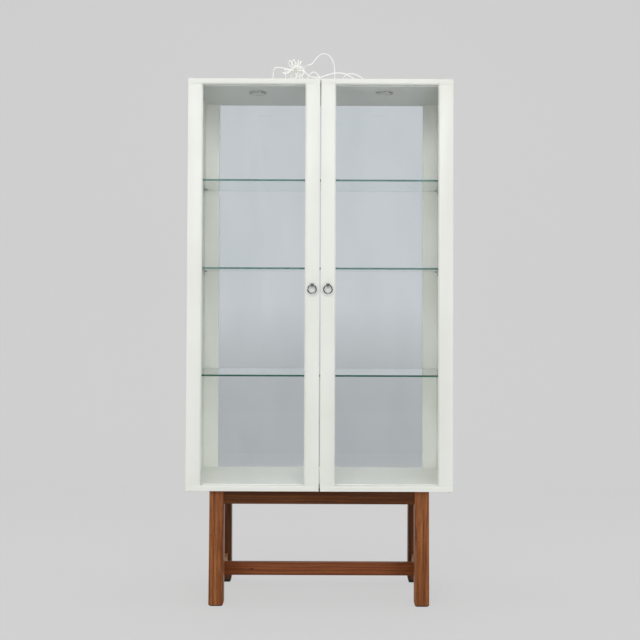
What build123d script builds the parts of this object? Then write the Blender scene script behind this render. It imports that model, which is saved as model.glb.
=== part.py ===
"""Display cabinet: a white case with two framed glass doors on a wooden stand.

Millimetres. X runs to the right, the doors face -Y and Z is up. The origin is under the
middle of the cabinet, on the floor. The depth counts the ring pulls.
"""
from build123d import *
from math import cos, pi, radians, sin, sqrt, tan
import os

os.makedirs("parts", exist_ok=True)

# Overall sizes
width = 900.0
case_height = 1400.0
case_depth = 377.0
stand_height = 385.0

# Boards and panes
side_thickness = 18.0
panel_thickness = 24.0
back_stile_width = 52.0
back_stile_thickness = 22.0
back_stile_chamfer = 2.0
back_glass_thickness = 4.0
groove_depth = 8.0
groove_clearance = 0.5
board_edge_radius = 1.0
seat_gap = 0.3

# Doors
door_gap = 3.0
door_thickness = 20.0
door_reveal = 2.4
centre_gap = 4.0
stile_width = 50.0
rail_height = 19.0
bevel = 5.0
bevel_to_rebate = 4.0
rebate_width = 8.0
door_glass_thickness = 4.0
strip_radius = 4.0
door_edge_radius = 1.0

# Pivot hinges
pivot_from_edge = 8.0
pivot_from_front = 8.0
plate_thickness = 2.0
plate_width = 16.0
plate_seat_length = 46.0
pin_radius = 2.5
pin_length = 12.0
pin_clearance = 0.05
bush_radius = 4.5
screw_head_radius = 3.6
screw_shank_radius = 1.9
screw_length = 16.0
screw_spacing = 20.0

# Ring pulls
pull_height = 696.5
pull_from_centre = 26.8
pull_standoff = 13.8
eye_radius = 6.2
eye_flat = 4.0
eye_lift = 0.8
stem_radius = 3.4
stem_length = 9.6
spigot_radius = 2.0
rose_radius = 7.0
rose_thickness = 2.4
rose_rounding = 1.4
ring_radius = 14.0
wire_radius = 2.3
wire_clearance = 0.35

# Catches and buffers
catch_size = (44.0, 16.0, 11.0)
catch_pole_reach = 1.5
catch_pole_thickness = 2.0
catch_pole_length = 20.0
catch_pole_spacing = 4.4
strike_size = (32.0, 1.2, 12.0)
buffer_radius = 4.0
buffer_places = ((-215.0, "top"), (215.0, "top"), (-215.0, "bottom"), (215.0, "bottom"),
                 (-40.0, "bottom"), (40.0, "bottom"))

# Shelves
shelf_thickness = 6.0
shelf_corner_radius = 4.0
shelf_edge_chamfer = 0.6
shelf_side_clearance = 1.5
shelf_front_setback = 8.0
shelf_back_clearance = 2.0
shelf_heights = {"shelf_lower": 389.0, "shelf_middle": 754.0, "shelf_upper": 1055.0}
support_from_front = 52.0
support_from_back = 55.0
support_plate = (12.0, 2.0, 15.0)
support_ledge_reach = 12.0
support_ledge_thickness = 2.4
support_pin_radius = 2.5
support_pin_length = 9.0
support_pin_drop = 8.0
support_pin_clearance = 0.1
spare_hole_height = 594.0
cap_radius = 4.2
cap_thickness = 1.4

# Cam fittings
cam_radius = 7.5
cam_depth = 12.0
cam_from_end = 24.0
cam_from_edge = 60.0
cam_bolt_radius = 3.0
cam_bolt_inset = 11.0

# Spotlights
lamp_x = 223.0
lamp_from_front = 117.0
lamp_hole_radius = 27.5
lamp_housing_radius = 27.0
lamp_bezel_radius = 30.0
lamp_bezel_drop = 5.0
lamp_lens_radius = 22.0
lamp_lens_thickness = 2.0
lamp_housing_height = 16.0
lamp_fin_count = 8
cover_radius = 31.0
cover_height = 7.0
cover_nozzle_radius = 3.2
cover_nozzle_reach = 36.0

# Stand
leg_width = 49.0
leg_depth = 50.0
leg_splay = 15.0
leg_edge_chamfer = 2.0
leg_from_side = 78.0
leg_from_case_front = 2.0
leg_clear_span = 230.0
stand_rail_height = 45.0
side_rail_thickness = 26.0
cross_rail_thickness = 22.0
lower_rail_bottom = 62.0
apron_setback = 3.0
tenon_length = 14.0
tenon_inset = 6.0
front_foot_height = 3.0
rear_foot_height = 10.0
foot_size = 44.0
foot_corner_radius = 7.0
foot_stem_radius = 4.0
foot_stem_length = 20.0
stand_bolt_radius = 3.0
stand_bolt_head_radius = 5.0
stand_bolt_head_height = 4.0
stand_bolt_bite = 14.0
stand_bolt_seat_depth = 10.0
stand_bolt_from_leg = 30.0

# Leads on the top panel
lamp_lead_radius = 1.6
supply_lead_radius = 1.9
lead_sides = 8
hank_centre = (-94.0, 108.0, 46.0)
hank_axis_turn = -45.0
hank_loops = 10
hank_start_angle = 200.0
hank_end_angle = -112.0
hank_waist_radius = 8.6
hank_loop_radii = (19.5, 18.0, 15.5, 14.5, 17.2, 18.5, 16.0, 15.0, 17.0, 17.8, 16.3)
hank_end_run = 22.0
tie_width = 5.0
tie_thickness = 1.2
plug_size = (35.0, 26.0, 15.0)
plug_pin_radius = 2.0
plug_pin_length = 19.0
plug_pin_spacing = 18.0
junction_place = (10.0, 236.0)
junction_size = (64.0, 24.0, 18.0)
junction_lead_x = (-6.0, 14.0)

# Places that follow from the sizes
pull_reach = pull_standoff + eye_radius
total_depth = case_depth + door_gap + door_thickness + pull_reach
door_front = pull_reach - total_depth / 2
door_back = door_front + door_thickness
case_front = door_back + door_gap
case_back = case_front + case_depth
case_bottom = stand_height
case_top = stand_height + case_height
inner_x = width / 2 - side_thickness
floor_z = case_bottom + panel_thickness
ceiling_z = case_top - panel_thickness
back_stile_front = case_back - back_stile_thickness
back_glass_y = back_stile_front + back_stile_thickness / 2
pane_edge_x = inner_x - back_stile_width
door_bottom = case_bottom + door_reveal
door_top = case_top - door_reveal
door_inner_x = centre_gap / 2
door_outer_x = width / 2
opening_inner_x = door_inner_x + stile_width
opening_outer_x = door_outer_x - stile_width
opening_bottom = door_bottom + rail_height
opening_top = door_top - rail_height
rebate_front = door_front + bevel + bevel_to_rebate
pivot_x = door_outer_x - pivot_from_edge
pivot_y = door_front + pivot_from_front
leg_outer_x = width / 2 - leg_from_side
leg_inner_x = leg_outer_x - leg_width
leg_centre_x = leg_outer_x - leg_width / 2
leg_front_top = case_front + leg_from_case_front
leg_rear_top = leg_front_top + 2 * leg_depth + leg_clear_span
lamp_y = case_front + lamp_from_front


def block(x0, x1, y0, y1, z0, z1):
    """A box between two corners."""
    size = (abs(x1 - x0), abs(y1 - y0), abs(z1 - z0))
    middle = ((x0 + x1) / 2, (y0 + y1) / 2, (z0 + z1) / 2)
    return Pos(*middle) * Box(*size)


def rod(start, direction, radius, length):
    """A cylinder from a start point along a direction."""
    return extrude(Plane(origin=start, z_dir=direction) * Circle(radius), length)


def mirrored(shape):
    """The same piece on the other side of the middle plane."""
    return mirror(shape, about=Plane.YZ)


def save(name, *solids):
    """Write one node of one or more separate solids."""
    shape = solids[0] if len(solids) == 1 else Compound(children=list(solids))
    export_step(shape, f"parts/{name}.step")


# Countersunk screws
def countersunk_screw(place, direction, length=screw_length):
    """A countersunk screw with a cross slot, head flush at its place, driven along a direction."""
    head_depth = screw_head_radius - screw_shank_radius
    profile = Polyline((0, 0), (screw_head_radius, 0), (screw_shank_radius, head_depth),
                       (screw_shank_radius, length - 3), (0, length), close=True)
    screw = revolve(Plane.XZ * make_face(profile), Axis.Z)
    slot = Pos(0, 0, 0.4) * Box(3.6, 0.8, 0.8) + Pos(0, 0, 0.4) * Box(0.8, 3.6, 0.8)
    return Plane(origin=place, z_dir=direction) * (screw - slot)


def screw_hole(place, direction, length=screw_length):
    """The hole that such a screw fills."""
    head_depth = screw_head_radius - screw_shank_radius
    profile = Polyline((0, -0.5), (screw_head_radius, -0.5), (screw_head_radius, 0),
                       (screw_shank_radius, head_depth), (screw_shank_radius, length),
                       (0, length), close=True)
    return Plane(origin=place, z_dir=direction) * revolve(Plane.XZ * make_face(profile), Axis.Z)


# Places of the fittings
plate_screw_y = [case_front + 12, case_front + 12 + screw_spacing]
plate_back = case_front + plate_seat_length
cam_y = [case_front + cam_from_edge, case_back - cam_from_edge]
support_y = [case_front + support_from_front, case_back - support_from_back]
shelf_bottoms = {name: case_bottom + rise - shelf_thickness / 2 for name, rise in shelf_heights.items()}
support_pin_z = [z - support_pin_drop for z in shelf_bottoms.values()]
spare_hole_z = case_bottom + spare_hole_height


def pivot_plate(top):
    """A pivot plate with its pin, let into the end of the right side panel."""
    outer = case_top if top else case_bottom
    step = -1 if top else 1
    with BuildSketch(Plane.XY) as outline:
        with Locations((pivot_x, pivot_y)):
            Circle(plate_width / 2)
        with Locations((pivot_x, (pivot_y + plate_back) / 2)):
            Rectangle(plate_width, plate_back - pivot_y)
    plate = Pos(0, 0, min(outer, outer + step * plate_thickness)) * extrude(outline.sketch, plate_thickness)
    for y in plate_screw_y:
        plate -= screw_hole((pivot_x, y, outer), (0, 0, step))
    pin = rod((pivot_x, pivot_y, outer + step * plate_thickness), (0, 0, step), pin_radius, pin_length)
    tip = pin.edges().filter_by(GeomType.CIRCLE).sort_by(Axis.Z)[0 if top else -1]
    return plate + chamfer(tip, 0.6)


def pivot_plate_seat(top):
    """The recess of a pivot plate and the holes of its screws."""
    outer = case_top if top else case_bottom
    step = -1 if top else 1
    z0, z1 = sorted((outer, outer + step * plate_thickness))
    seat = block(pivot_x - plate_width / 2, width / 2, case_front, plate_back, z0, z1)
    for y in plate_screw_y:
        seat += screw_hole((pivot_x, y, outer), (0, 0, step))
    return seat


# Case
def cam_bolt(y, z):
    """A bolt from the right side panel into a cam."""
    shank = rod((inner_x + cam_bolt_inset, y, z), (-1, 0, 0), cam_bolt_radius,
                cam_bolt_inset + cam_from_end - cam_radius)
    return shank


def cam(y, top):
    """A cam let into a horizontal panel beside the right side panel."""
    outer = case_top if top else case_bottom
    step = -1 if top else 1
    body = rod((inner_x - cam_from_end, y, outer), (0, 0, step), cam_radius - 0.1, cam_depth)
    slot = Pos(inner_x - cam_from_end, y, outer) * (Box(9, 1.6, 3) + Box(1.6, 9, 3))
    return body - slot


def cam_hole(y, top):
    """The pocket of a cam."""
    outer = case_top if top else case_bottom
    return rod((inner_x - cam_from_end, y, outer), (0, 0, -1 if top else 1), cam_radius, cam_depth + 0.2)


bolt_z = {True: case_top - cam_depth / 2, False: case_bottom + cam_depth / 2}


def side_panel():
    """The right side panel."""
    panel = block(inner_x, width / 2, case_front, case_back, case_bottom, case_top)
    long_edges = panel.edges().filter_by(Axis.Z).group_by(Axis.X)[-1]
    panel = fillet(long_edges, board_edge_radius)
    for top in (True, False):
        panel -= pivot_plate_seat(top)
        for y in cam_y:
            panel -= rod((inner_x, y, bolt_z[top]), (1, 0, 0), cam_bolt_radius, cam_bolt_inset)
    for z in support_pin_z + [spare_hole_z]:
        for y in support_y:
            panel -= rod((inner_x, y, z), (1, 0, 0), support_pin_radius + support_pin_clearance,
                         support_pin_length + 1)
    return panel


def flat_panel(top):
    """The top or bottom panel, between the sides, with the groove of the back pane."""
    z0, z1 = (ceiling_z, case_top) if top else (case_bottom, floor_z)
    panel = block(-inner_x, inner_x, case_front, case_back, z0, z1)
    front_edges = panel.edges().filter_by(Axis.X).group_by(Axis.Y)[0]
    panel = fillet(front_edges, board_edge_radius)
    half_groove = back_glass_thickness / 2 + groove_clearance
    groove_z = (z0, z0 + groove_depth) if top else (z1 - groove_depth, z1)
    panel -= block(-pane_edge_x - groove_depth, pane_edge_x + groove_depth,
                   back_glass_y - half_groove, back_glass_y + half_groove, *groove_z)
    for y in cam_y:
        bolt_hole = rod((inner_x, y, bolt_z[top]), (-1, 0, 0), cam_bolt_radius, cam_from_end)
        for cut in (cam_hole(y, top), bolt_hole):
            panel -= cut
            panel -= mirrored(cut)
    return panel


def back_stile():
    """The right back stile, grooved for the back pane."""
    stile = block(pane_edge_x, inner_x, back_stile_front, case_back, floor_z, ceiling_z)
    inner_edges = stile.edges().filter_by(Axis.Z).group_by(Axis.X)[0]
    stile = chamfer(inner_edges, back_stile_chamfer)
    half_groove = back_glass_thickness / 2 + groove_clearance
    return stile - block(pane_edge_x, pane_edge_x + groove_depth, back_glass_y - half_groove,
                         back_glass_y + half_groove, floor_z, ceiling_z)


right_side = side_panel()
save("side_panel_right", right_side)
save("side_panel_left", mirrored(right_side))

top_panel = flat_panel(True)
for side in (-1, 1):
    top_panel -= rod((side * lamp_x, lamp_y, ceiling_z), (0, 0, 1), lamp_hole_radius, panel_thickness)
save("top_panel", top_panel)

right_back_stile = back_stile()
save("back_stile_right", right_back_stile)
save("back_stile_left", mirrored(right_back_stile))

pane_grip = groove_depth - groove_clearance
back_glass = block(-pane_edge_x - pane_grip, pane_edge_x + pane_grip,
                   back_glass_y - back_glass_thickness / 2, back_glass_y + back_glass_thickness / 2,
                   floor_z - groove_depth, ceiling_z + pane_grip)
save("back_glass", fillet(back_glass.edges().filter_by(Axis.Y), 2.0))

cams = []
for top in (True, False):
    for y in cam_y:
        for piece in (cam(y, top), cam_bolt(y, bolt_z[top])):
            cams += [piece, mirrored(piece)]
save("cam_fittings", *cams)

caps = []
for y in support_y:
    head = rod((inner_x, y, spare_hole_z), (-1, 0, 0), cap_radius, cap_thickness)
    head = chamfer(head.edges().filter_by(GeomType.CIRCLE).sort_by(Axis.X)[0], cap_thickness / 2)
    cap = head + rod((inner_x, y, spare_hole_z), (1, 0, 0), support_pin_radius, support_pin_length)
    caps += [cap, mirrored(cap)]
save("hole_caps", *caps)

# Pivot hinges
pivots = []
for top in (True, False):
    outer = case_top if top else case_bottom
    pieces = [pivot_plate(top)]
    for y in plate_screw_y:
        pieces.append(countersunk_screw((pivot_x, y, outer), (0, 0, -1 if top else 1)))
    for piece in pieces:
        pivots += [piece, mirrored(piece)]
save("pivot_hinges", *pivots)

# Door buffers and magnet catches
buffers = []
for x, level in buffer_places:
    z = case_top - panel_thickness / 2 if level == "top" else case_bottom + panel_thickness / 2
    stud = rod((x, case_front, z), (0, -1, 0), buffer_radius, door_gap - seat_gap)
    buffers.append(chamfer(stud.edges().filter_by(GeomType.CIRCLE).sort_by(Axis.Y)[0], 0.8))
save("door_buffers", *buffers)

catch_centre_x = door_inner_x + stile_width / 2
catch_z = ceiling_z - catch_size[2] / 2


def magnet_catch():
    """A catch under the top panel, with its two pole plates proud of its front."""
    body = block(catch_centre_x - catch_size[0] / 2, catch_centre_x + catch_size[0] / 2,
                 case_front, case_front + catch_size[1], ceiling_z - catch_size[2], ceiling_z)
    body = fillet(body.edges().filter_by(Axis.Y).group_by(Axis.Z)[0], 2.0)
    pocket_height = catch_pole_spacing + catch_pole_thickness + 0.6
    pocket = Pos(catch_centre_x, case_front, catch_z) * Box(catch_pole_length + 2, 2.4, pocket_height)
    poles = []
    for rise in (-1, 1):
        z = catch_z + rise * catch_pole_spacing / 2
        poles.append(block(catch_centre_x - catch_pole_length / 2, catch_centre_x + catch_pole_length / 2,
                           case_front - catch_pole_reach, case_front + 4,
                           z - catch_pole_thickness / 2, z + catch_pole_thickness / 2))
    return body - pocket + poles


bottom_panel = flat_panel(False)
right_catch = magnet_catch()
save("magnet_catches", right_catch, mirrored(right_catch))

# Shelves and their supports
shelf_x = inner_x - shelf_side_clearance
for name, z in shelf_bottoms.items():
    pane = block(-shelf_x, shelf_x, case_front + shelf_front_setback,
                 back_stile_front - shelf_back_clearance, z, z + shelf_thickness)
    pane = fillet(pane.edges().filter_by(Axis.Z), shelf_corner_radius)
    pane = chamfer(pane.faces().filter_by(Axis.Z).edges(), shelf_edge_chamfer)
    save(name, pane)


def shelf_support(y, shelf_z):
    """A right-hand support: wall plate, gusset, ledge under the pane and pin in the panel."""
    half = support_plate[0] / 2
    ledge_x = inner_x - support_ledge_reach
    plate_x = inner_x - support_plate[1]
    foot_z = shelf_z - support_plate[2]
    with BuildSketch(Plane.XZ) as profile:
        with BuildLine():
            Polyline((inner_x, shelf_z), (ledge_x, shelf_z), (ledge_x, shelf_z - support_ledge_thickness),
                     (plate_x - 3, shelf_z - support_ledge_thickness))
            RadiusArc((plate_x - 3, shelf_z - support_ledge_thickness),
                      (plate_x, shelf_z - support_ledge_thickness - 3), -3)
            Polyline((plate_x, shelf_z - support_ledge_thickness - 3), (plate_x, foot_z), (inner_x, foot_z),
                     (inner_x, shelf_z))
        make_face()
    bracket = Pos(0, y, 0) * extrude(profile.sketch, half, both=True)
    bracket = fillet(bracket.edges().filter_by(Axis.X).group_by(Axis.Z)[0], 3.0)
    bracket = fillet(bracket.edges().filter_by(Axis.Z).group_by(Axis.X)[0], 1.0)
    pin = rod((inner_x, y, shelf_z - support_pin_drop), (1, 0, 0), support_pin_radius, support_pin_length)
    return bracket + pin


supports = []
for z in shelf_bottoms.values():
    for y in support_y:
        support = shelf_support(y, z)
        supports += [support, mirrored(support)]
save("shelf_supports", *supports)

# Spotlights
def spotlight_bezel():
    """A ring with a rounded nose below the ceiling and a short neck in the hole."""
    neck = lamp_lens_radius + 2.0
    with BuildSketch(Plane.XZ) as profile:
        with BuildLine():
            Polyline((lamp_bezel_radius, 0), (lamp_bezel_radius, -lamp_bezel_drop + 2))
            RadiusArc((lamp_bezel_radius, -lamp_bezel_drop + 2), (lamp_bezel_radius - 2, -lamp_bezel_drop), 2)
            Polyline((lamp_bezel_radius - 2, -lamp_bezel_drop), (neck, -lamp_bezel_drop),
                     (lamp_lens_radius, -lamp_bezel_drop + 2), (lamp_lens_radius, -lamp_lens_thickness),
                     (neck, -lamp_lens_thickness), (neck, 4), (lamp_housing_radius, 4),
                     (lamp_housing_radius, 0), (lamp_bezel_radius, 0))
        make_face()
    return revolve(profile.sketch, Axis.Z)


def spotlight_housing():
    """A heat sink behind the lens, with slots round its rim and a stub for the lead."""
    base = extrude(Circle(lamp_housing_radius), lamp_housing_height)
    for index in range(lamp_fin_count):
        turn = Rot(0, 0, index * 360 / lamp_fin_count)
        slot = Pos(lamp_housing_radius, 0, lamp_housing_height / 2 + 3) * Box(14, 5, lamp_housing_height)
        base -= turn * slot
    return base


bezels, lenses, housings, covers = [], [], [], []
for side in (-1, 1):
    place = Pos(side * lamp_x, lamp_y, ceiling_z)
    bezels.append(place * spotlight_bezel())
    lens = extrude(Circle(lamp_lens_radius + 2.0), lamp_lens_thickness)
    lenses.append(place * Pos(0, 0, -lamp_lens_thickness) * chamfer(lens.edges().group_by(Axis.Z)[0], 0.3))
    housings.append(place * Pos(0, 0, 4) * spotlight_housing())
    dome = Pos(0, 0, case_top - ceiling_z) * extrude(Circle(cover_radius), cover_height)
    dome = fillet(dome.edges().filter_by(GeomType.CIRCLE).sort_by(Axis.Z)[-1], cover_height - 2)
    dome -= Pos(0, 0, case_top - ceiling_z) * extrude(Circle(cover_radius - 4), cover_height - 2)
    nozzle = rod((-side * (cover_radius - 6), 0, case_top - ceiling_z + cover_nozzle_radius), (-side, 0, 0),
                 cover_nozzle_radius, cover_nozzle_reach - cover_radius + 6)
    covers.append(place * (dome + nozzle))
save("spotlight_bezels", *bezels)
save("spotlight_lenses", *lenses)
save("spotlight_housings", *housings)
save("cable_covers", *covers)


# Doors
def opening_cutter():
    """The opening of the right door: a bevel at the front, a lip and a rebate behind."""
    x0, x1 = opening_inner_x, opening_outer_x
    through = block(x0, x1, door_front - 1, door_back + 1, opening_bottom, opening_top)
    face = Plane(origin=((x0 + x1) / 2, door_front, (opening_bottom + opening_top) / 2), z_dir=(0, 1, 0),
                 x_dir=(1, 0, 0))
    wide = face * Rectangle(x1 - x0 + 2 * bevel, opening_top - opening_bottom + 2 * bevel)
    narrow = face.offset(bevel) * Rectangle(x1 - x0, opening_top - opening_bottom)
    rebate = block(x0 - rebate_width, x1 + rebate_width, rebate_front, door_back,
                   opening_bottom - rebate_width, opening_top + rebate_width)
    return through + loft([wide, narrow]) + rebate


def pull_post():
    """The post of the right ring pull: spigot, rose, stem and an eye with a bell-mouthed hole."""
    place = Pos(pull_from_centre, door_front, case_bottom + pull_height)
    eye_place = Pos(0, -pull_standoff, 0)
    rim = rose_thickness - rose_rounding
    diagonal = rose_rounding * sqrt(0.5)
    with BuildSketch(Plane.XY) as outline:
        with BuildLine():
            Polyline((rose_radius - rose_rounding, -rose_thickness), (stem_radius, -rose_thickness),
                     (stem_radius, -stem_length), (0, -stem_length), (0, rebate_front - door_front),
                     (spigot_radius, rebate_front - door_front), (spigot_radius, 0), (rose_radius, 0),
                     (rose_radius, -rim))
            ThreePointArc((rose_radius, -rim), (rose_radius - rose_rounding + diagonal, -rim - diagonal),
                          (rose_radius - rose_rounding, -rose_thickness))
        make_face()
    shank = revolve(outline.sketch, Axis.Y)
    eye = Pos(0, 0, eye_lift) * (Sphere(eye_radius) & Box(2 * eye_flat, 3 * eye_radius, 3 * eye_radius))
    mouth = eye_flat + 0.5
    throat = wire_radius + wire_clearance
    flare = throat + ring_radius - sqrt(ring_radius ** 2 - mouth ** 2)
    with BuildSketch(Plane.XY) as profile:
        with BuildLine():
            ThreePointArc((-mouth, flare), (0, throat), (mouth, flare))
            Polyline((mouth, flare), (mouth, 0), (-mouth, 0), (-mouth, flare))
        make_face()
    hole = revolve(profile.sketch, Axis.X)
    return place * (Pos(0, 0, eye_lift) * shank + eye_place * eye - eye_place * hole)


def pull_ring():
    """The right pull's ring, hanging through the eye."""
    z = case_bottom + pull_height - ring_radius
    place = Pos(pull_from_centre, door_front - pull_standoff, z)
    return place * Rot(90, 0, 0) * Torus(ring_radius, wire_radius)


def door_pieces():
    """The pieces of the right door by name."""
    cutter = opening_cutter()
    bush_length = pin_length + 2.0
    bushes = []
    bush_holes = []
    for z, step in ((door_top, -1), (door_bottom, 1)):
        centre = (pivot_x, pivot_y, z)
        bush_holes.append(rod(centre, (0, 0, step), bush_radius, bush_length))
        bushes.append(rod(centre, (0, 0, step), bush_radius, bush_length)
                      - rod(centre, (0, 0, step), pin_radius + pin_clearance, bush_length - 1))
    pull_hole = rod((pull_from_centre, door_front, case_bottom + pull_height + eye_lift), (0, 1, 0),
                    spigot_radius, rebate_front - door_front)
    strike_z = catch_z
    strike_x = (catch_centre_x - strike_size[0] / 2 - 3, catch_centre_x + strike_size[0] / 2 - 3)
    screws_x = (strike_x[0] + 4, strike_x[1] - 4)

    members = {
        "rail_top": (door_inner_x, door_outer_x, opening_top, door_top),
        "rail_bottom": (door_inner_x, door_outer_x, door_bottom, opening_bottom),
        "stile_inner": (door_inner_x, opening_inner_x, opening_bottom, opening_top),
        "stile_outer": (opening_outer_x, door_outer_x, opening_bottom, opening_top),
    }
    pieces = {}
    for name, (x0, x1, z0, z1) in members.items():
        member = block(x0, x1, door_front, door_back, z0, z1)
        if name == "stile_inner":
            outside = member.edges().filter_by(Axis.Z).group_by(Axis.X)[0]
        elif name == "stile_outer":
            outside = member.edges().filter_by(Axis.Z).group_by(Axis.X)[-1]
        else:
            ends = member.edges().filter_by(Axis.Z)
            sides = member.edges().filter_by(Axis.X).group_by(Axis.Z)[-1 if name == "rail_top" else 0]
            outside = ends + sides
        pieces[name] = fillet(outside, door_edge_radius) - cutter
    for hole in bush_holes:
        pieces["rail_top"] -= hole
        pieces["rail_bottom"] -= hole
    pieces["stile_inner"] -= pull_hole

    grip = rebate_width - groove_clearance
    glass_back = rebate_front + door_glass_thickness
    pane = block(opening_inner_x - grip, opening_outer_x + grip, rebate_front, glass_back,
                 opening_bottom - grip, opening_top + grip)
    pieces["glass"] = fillet(pane.edges().filter_by(Axis.Y), 1.5)

    strips = []
    strip_depth = door_back - glass_back
    for x0, x1 in ((opening_inner_x - rebate_width, opening_inner_x),
                   (opening_outer_x, opening_outer_x + rebate_width)):
        strip = block(x0, x1, glass_back, door_back, opening_bottom, opening_top)
        inner = strip.edges().filter_by(Axis.Z).filter_by_position(Axis.Y, door_back - 0.01, door_back + 0.01)
        inner = inner.sort_by(Axis.X)[-1 if x0 < opening_inner_x else 0]
        strips.append(fillet(inner, strip_radius))
    for z0, z1 in ((opening_bottom - rebate_width, opening_bottom),
                   (opening_top, opening_top + rebate_width)):
        strip = block(opening_inner_x - rebate_width, opening_outer_x + rebate_width,
                      glass_back, door_back, z0, z1)
        inner = strip.edges().filter_by(Axis.X).filter_by_position(Axis.Y, door_back - 0.01, door_back + 0.01)
        inner = inner.sort_by(Axis.Z)[-1 if z0 < opening_bottom else 0]
        strips.append(fillet(inner, strip_radius))
    pieces["glazing_strips"] = strips
    pieces["bushes"] = bushes

    strike = block(strike_x[0], strike_x[1], door_back, door_back + strike_size[1],
                   strike_z - strike_size[2] / 2, strike_z + strike_size[2] / 2)
    strike = fillet(strike.edges().filter_by(Axis.Y), 2.0)
    for x in screws_x:
        pin = rod((x, door_back + strike_size[1], strike_z), (0, -1, 0), 1.4, 8)
        strike += chamfer(pin.edges().filter_by(GeomType.CIRCLE).sort_by(Axis.Y)[0], 0.5)
        pieces["stile_inner"] -= rod((x, door_back, strike_z), (0, -1, 0), 1.4, 8)
    pieces["strike_plate"] = strike
    pieces["pull_post"] = pull_post()
    pieces["pull_ring"] = pull_ring()
    return pieces


for name, piece in door_pieces().items():
    solids = piece if isinstance(piece, list) else [piece]
    save(f"door_right_{name}", *solids)
    save(f"door_left_{name}", *[mirrored(solid) for solid in solids])


# Stand
def leg_face(z, rear):
    """Depth of the front face of a leg at a height: the legs lean apart towards the floor."""
    lean = leg_splay * (stand_height - z) / stand_height
    return leg_rear_top - leg_depth + lean if rear else leg_front_top - lean


def leg(rear):
    """A right leg, splayed towards the front or the back."""
    foot = rear_foot_height if rear else front_foot_height
    points = [(leg_face(foot, rear), foot), (leg_face(foot, rear) + leg_depth, foot),
              (leg_face(stand_height, rear) + leg_depth, stand_height),
              (leg_face(stand_height, rear), stand_height)]
    side = make_face(Plane.YZ * Polyline(*points, close=True))
    post = extrude(Plane(origin=(leg_inner_x, 0, 0)) * side, leg_width, dir=(1, 0, 0))
    upright = [edge for edge in post.edges() if abs((edge @ 1 - edge @ 0).Z) > stand_height / 2]
    post = chamfer(upright, leg_edge_chamfer)
    return chamfer(post.edges().group_by(Axis.Z)[0], leg_edge_chamfer)


def side_rail(z0):
    """A right-hand rail from the front leg to the rear leg, with a tenon at each end."""
    z1 = z0 + stand_rail_height
    points = [(leg_face(z0, False) + leg_depth, z0), (leg_face(z0, True), z0),
              (leg_face(z1, True), z1), (leg_face(z1, False) + leg_depth, z1)]
    side = make_face(Plane.YZ * Polyline(*points, close=True))
    x0 = leg_centre_x - side_rail_thickness / 2
    rail = extrude(Plane(origin=(x0, 0, 0)) * side, side_rail_thickness, dir=(1, 0, 0))
    long_edges = [edge for edge in rail.edges() if abs((edge @ 1 - edge @ 0).Y) > 2 * leg_depth]
    return chamfer(long_edges, 1.0)


def side_tenons(z0):
    """The tenons of a side rail, which fill the mortises of the two legs."""
    half = side_rail_thickness / 2 - tenon_inset
    low, high = z0 + tenon_inset, z0 + stand_rail_height - tenon_inset
    front_end = leg_face(low, False) + leg_depth - tenon_length
    rear_end = leg_face(low, True) + tenon_length
    return block(leg_centre_x - half, leg_centre_x + half, front_end, rear_end, low, high)


def cross_tenon(x0, x1, y_middle, z0):
    """A tenon along X at the end of an apron or the stretcher."""
    half = cross_rail_thickness / 2 - tenon_inset
    return block(x0, x1, y_middle - half, y_middle + half,
                 z0 + tenon_inset, z0 + stand_rail_height - tenon_inset)


upper_rail_bottom = stand_height - stand_rail_height
front_apron_y = leg_front_top + apron_setback + cross_rail_thickness / 2
rear_apron_y = leg_rear_top - apron_setback - cross_rail_thickness / 2
stretcher_y = (leg_front_top + leg_rear_top) / 2
rail_inner_x = leg_centre_x - side_rail_thickness / 2


def cross_rail(x_end, y_middle, z0):
    """An apron or the stretcher, from one end to the other, with its tenons."""
    rail = block(-x_end, x_end, y_middle - cross_rail_thickness / 2, y_middle + cross_rail_thickness / 2,
                 z0, z0 + stand_rail_height)
    rail = chamfer(rail.edges().filter_by(Axis.X), 1.0)
    tenon = cross_tenon(x_end - 1, x_end + tenon_length, y_middle, z0)
    return rail + tenon + mirrored(tenon)


apron_tenon_front = cross_tenon(leg_inner_x - 1, leg_inner_x + tenon_length, front_apron_y, upper_rail_bottom)
apron_tenon_rear = cross_tenon(leg_inner_x - 1, leg_inner_x + tenon_length, rear_apron_y, upper_rail_bottom)
stretcher_tenon = cross_tenon(rail_inner_x - 1, rail_inner_x + tenon_length, stretcher_y, lower_rail_bottom)

for rear, name, apron_tenon in ((False, "front", apron_tenon_front), (True, "rear", apron_tenon_rear)):
    post = leg(rear) - apron_tenon
    for z0 in (lower_rail_bottom, upper_rail_bottom):
        post -= side_tenons(z0) - side_rail(z0)
    if rear:
        post -= rod((leg_centre_x, leg_face(0, True) + leg_depth / 2, rear_foot_height), (0, 0, 1),
                    foot_stem_radius, foot_stem_length)
    save(f"leg_{name}_right", post)
    save(f"leg_{name}_left", mirrored(post))

bolt_y = (leg_face(upper_rail_bottom, False) + leg_depth + stand_bolt_from_leg,
          leg_face(upper_rail_bottom, True) - stand_bolt_from_leg)
bolt_seat_z = upper_rail_bottom + stand_bolt_seat_depth


def stand_bolt(y):
    """A bolt with a socket head, up through the upper rail into the case."""
    head = rod((leg_centre_x, y, bolt_seat_z - stand_bolt_head_height), (0, 0, 1),
               stand_bolt_head_radius, stand_bolt_head_height)
    shank = rod((leg_centre_x, y, bolt_seat_z), (0, 0, 1), stand_bolt_radius,
                stand_height + stand_bolt_bite - bolt_seat_z)
    return head + shank


def bolt_bore(y):
    """The stepped hole of a stand bolt."""
    mouth = rod((leg_centre_x, y, upper_rail_bottom), (0, 0, 1), stand_bolt_head_radius + groove_clearance,
                stand_bolt_seat_depth)
    return mouth + stand_bolt(y)


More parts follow.
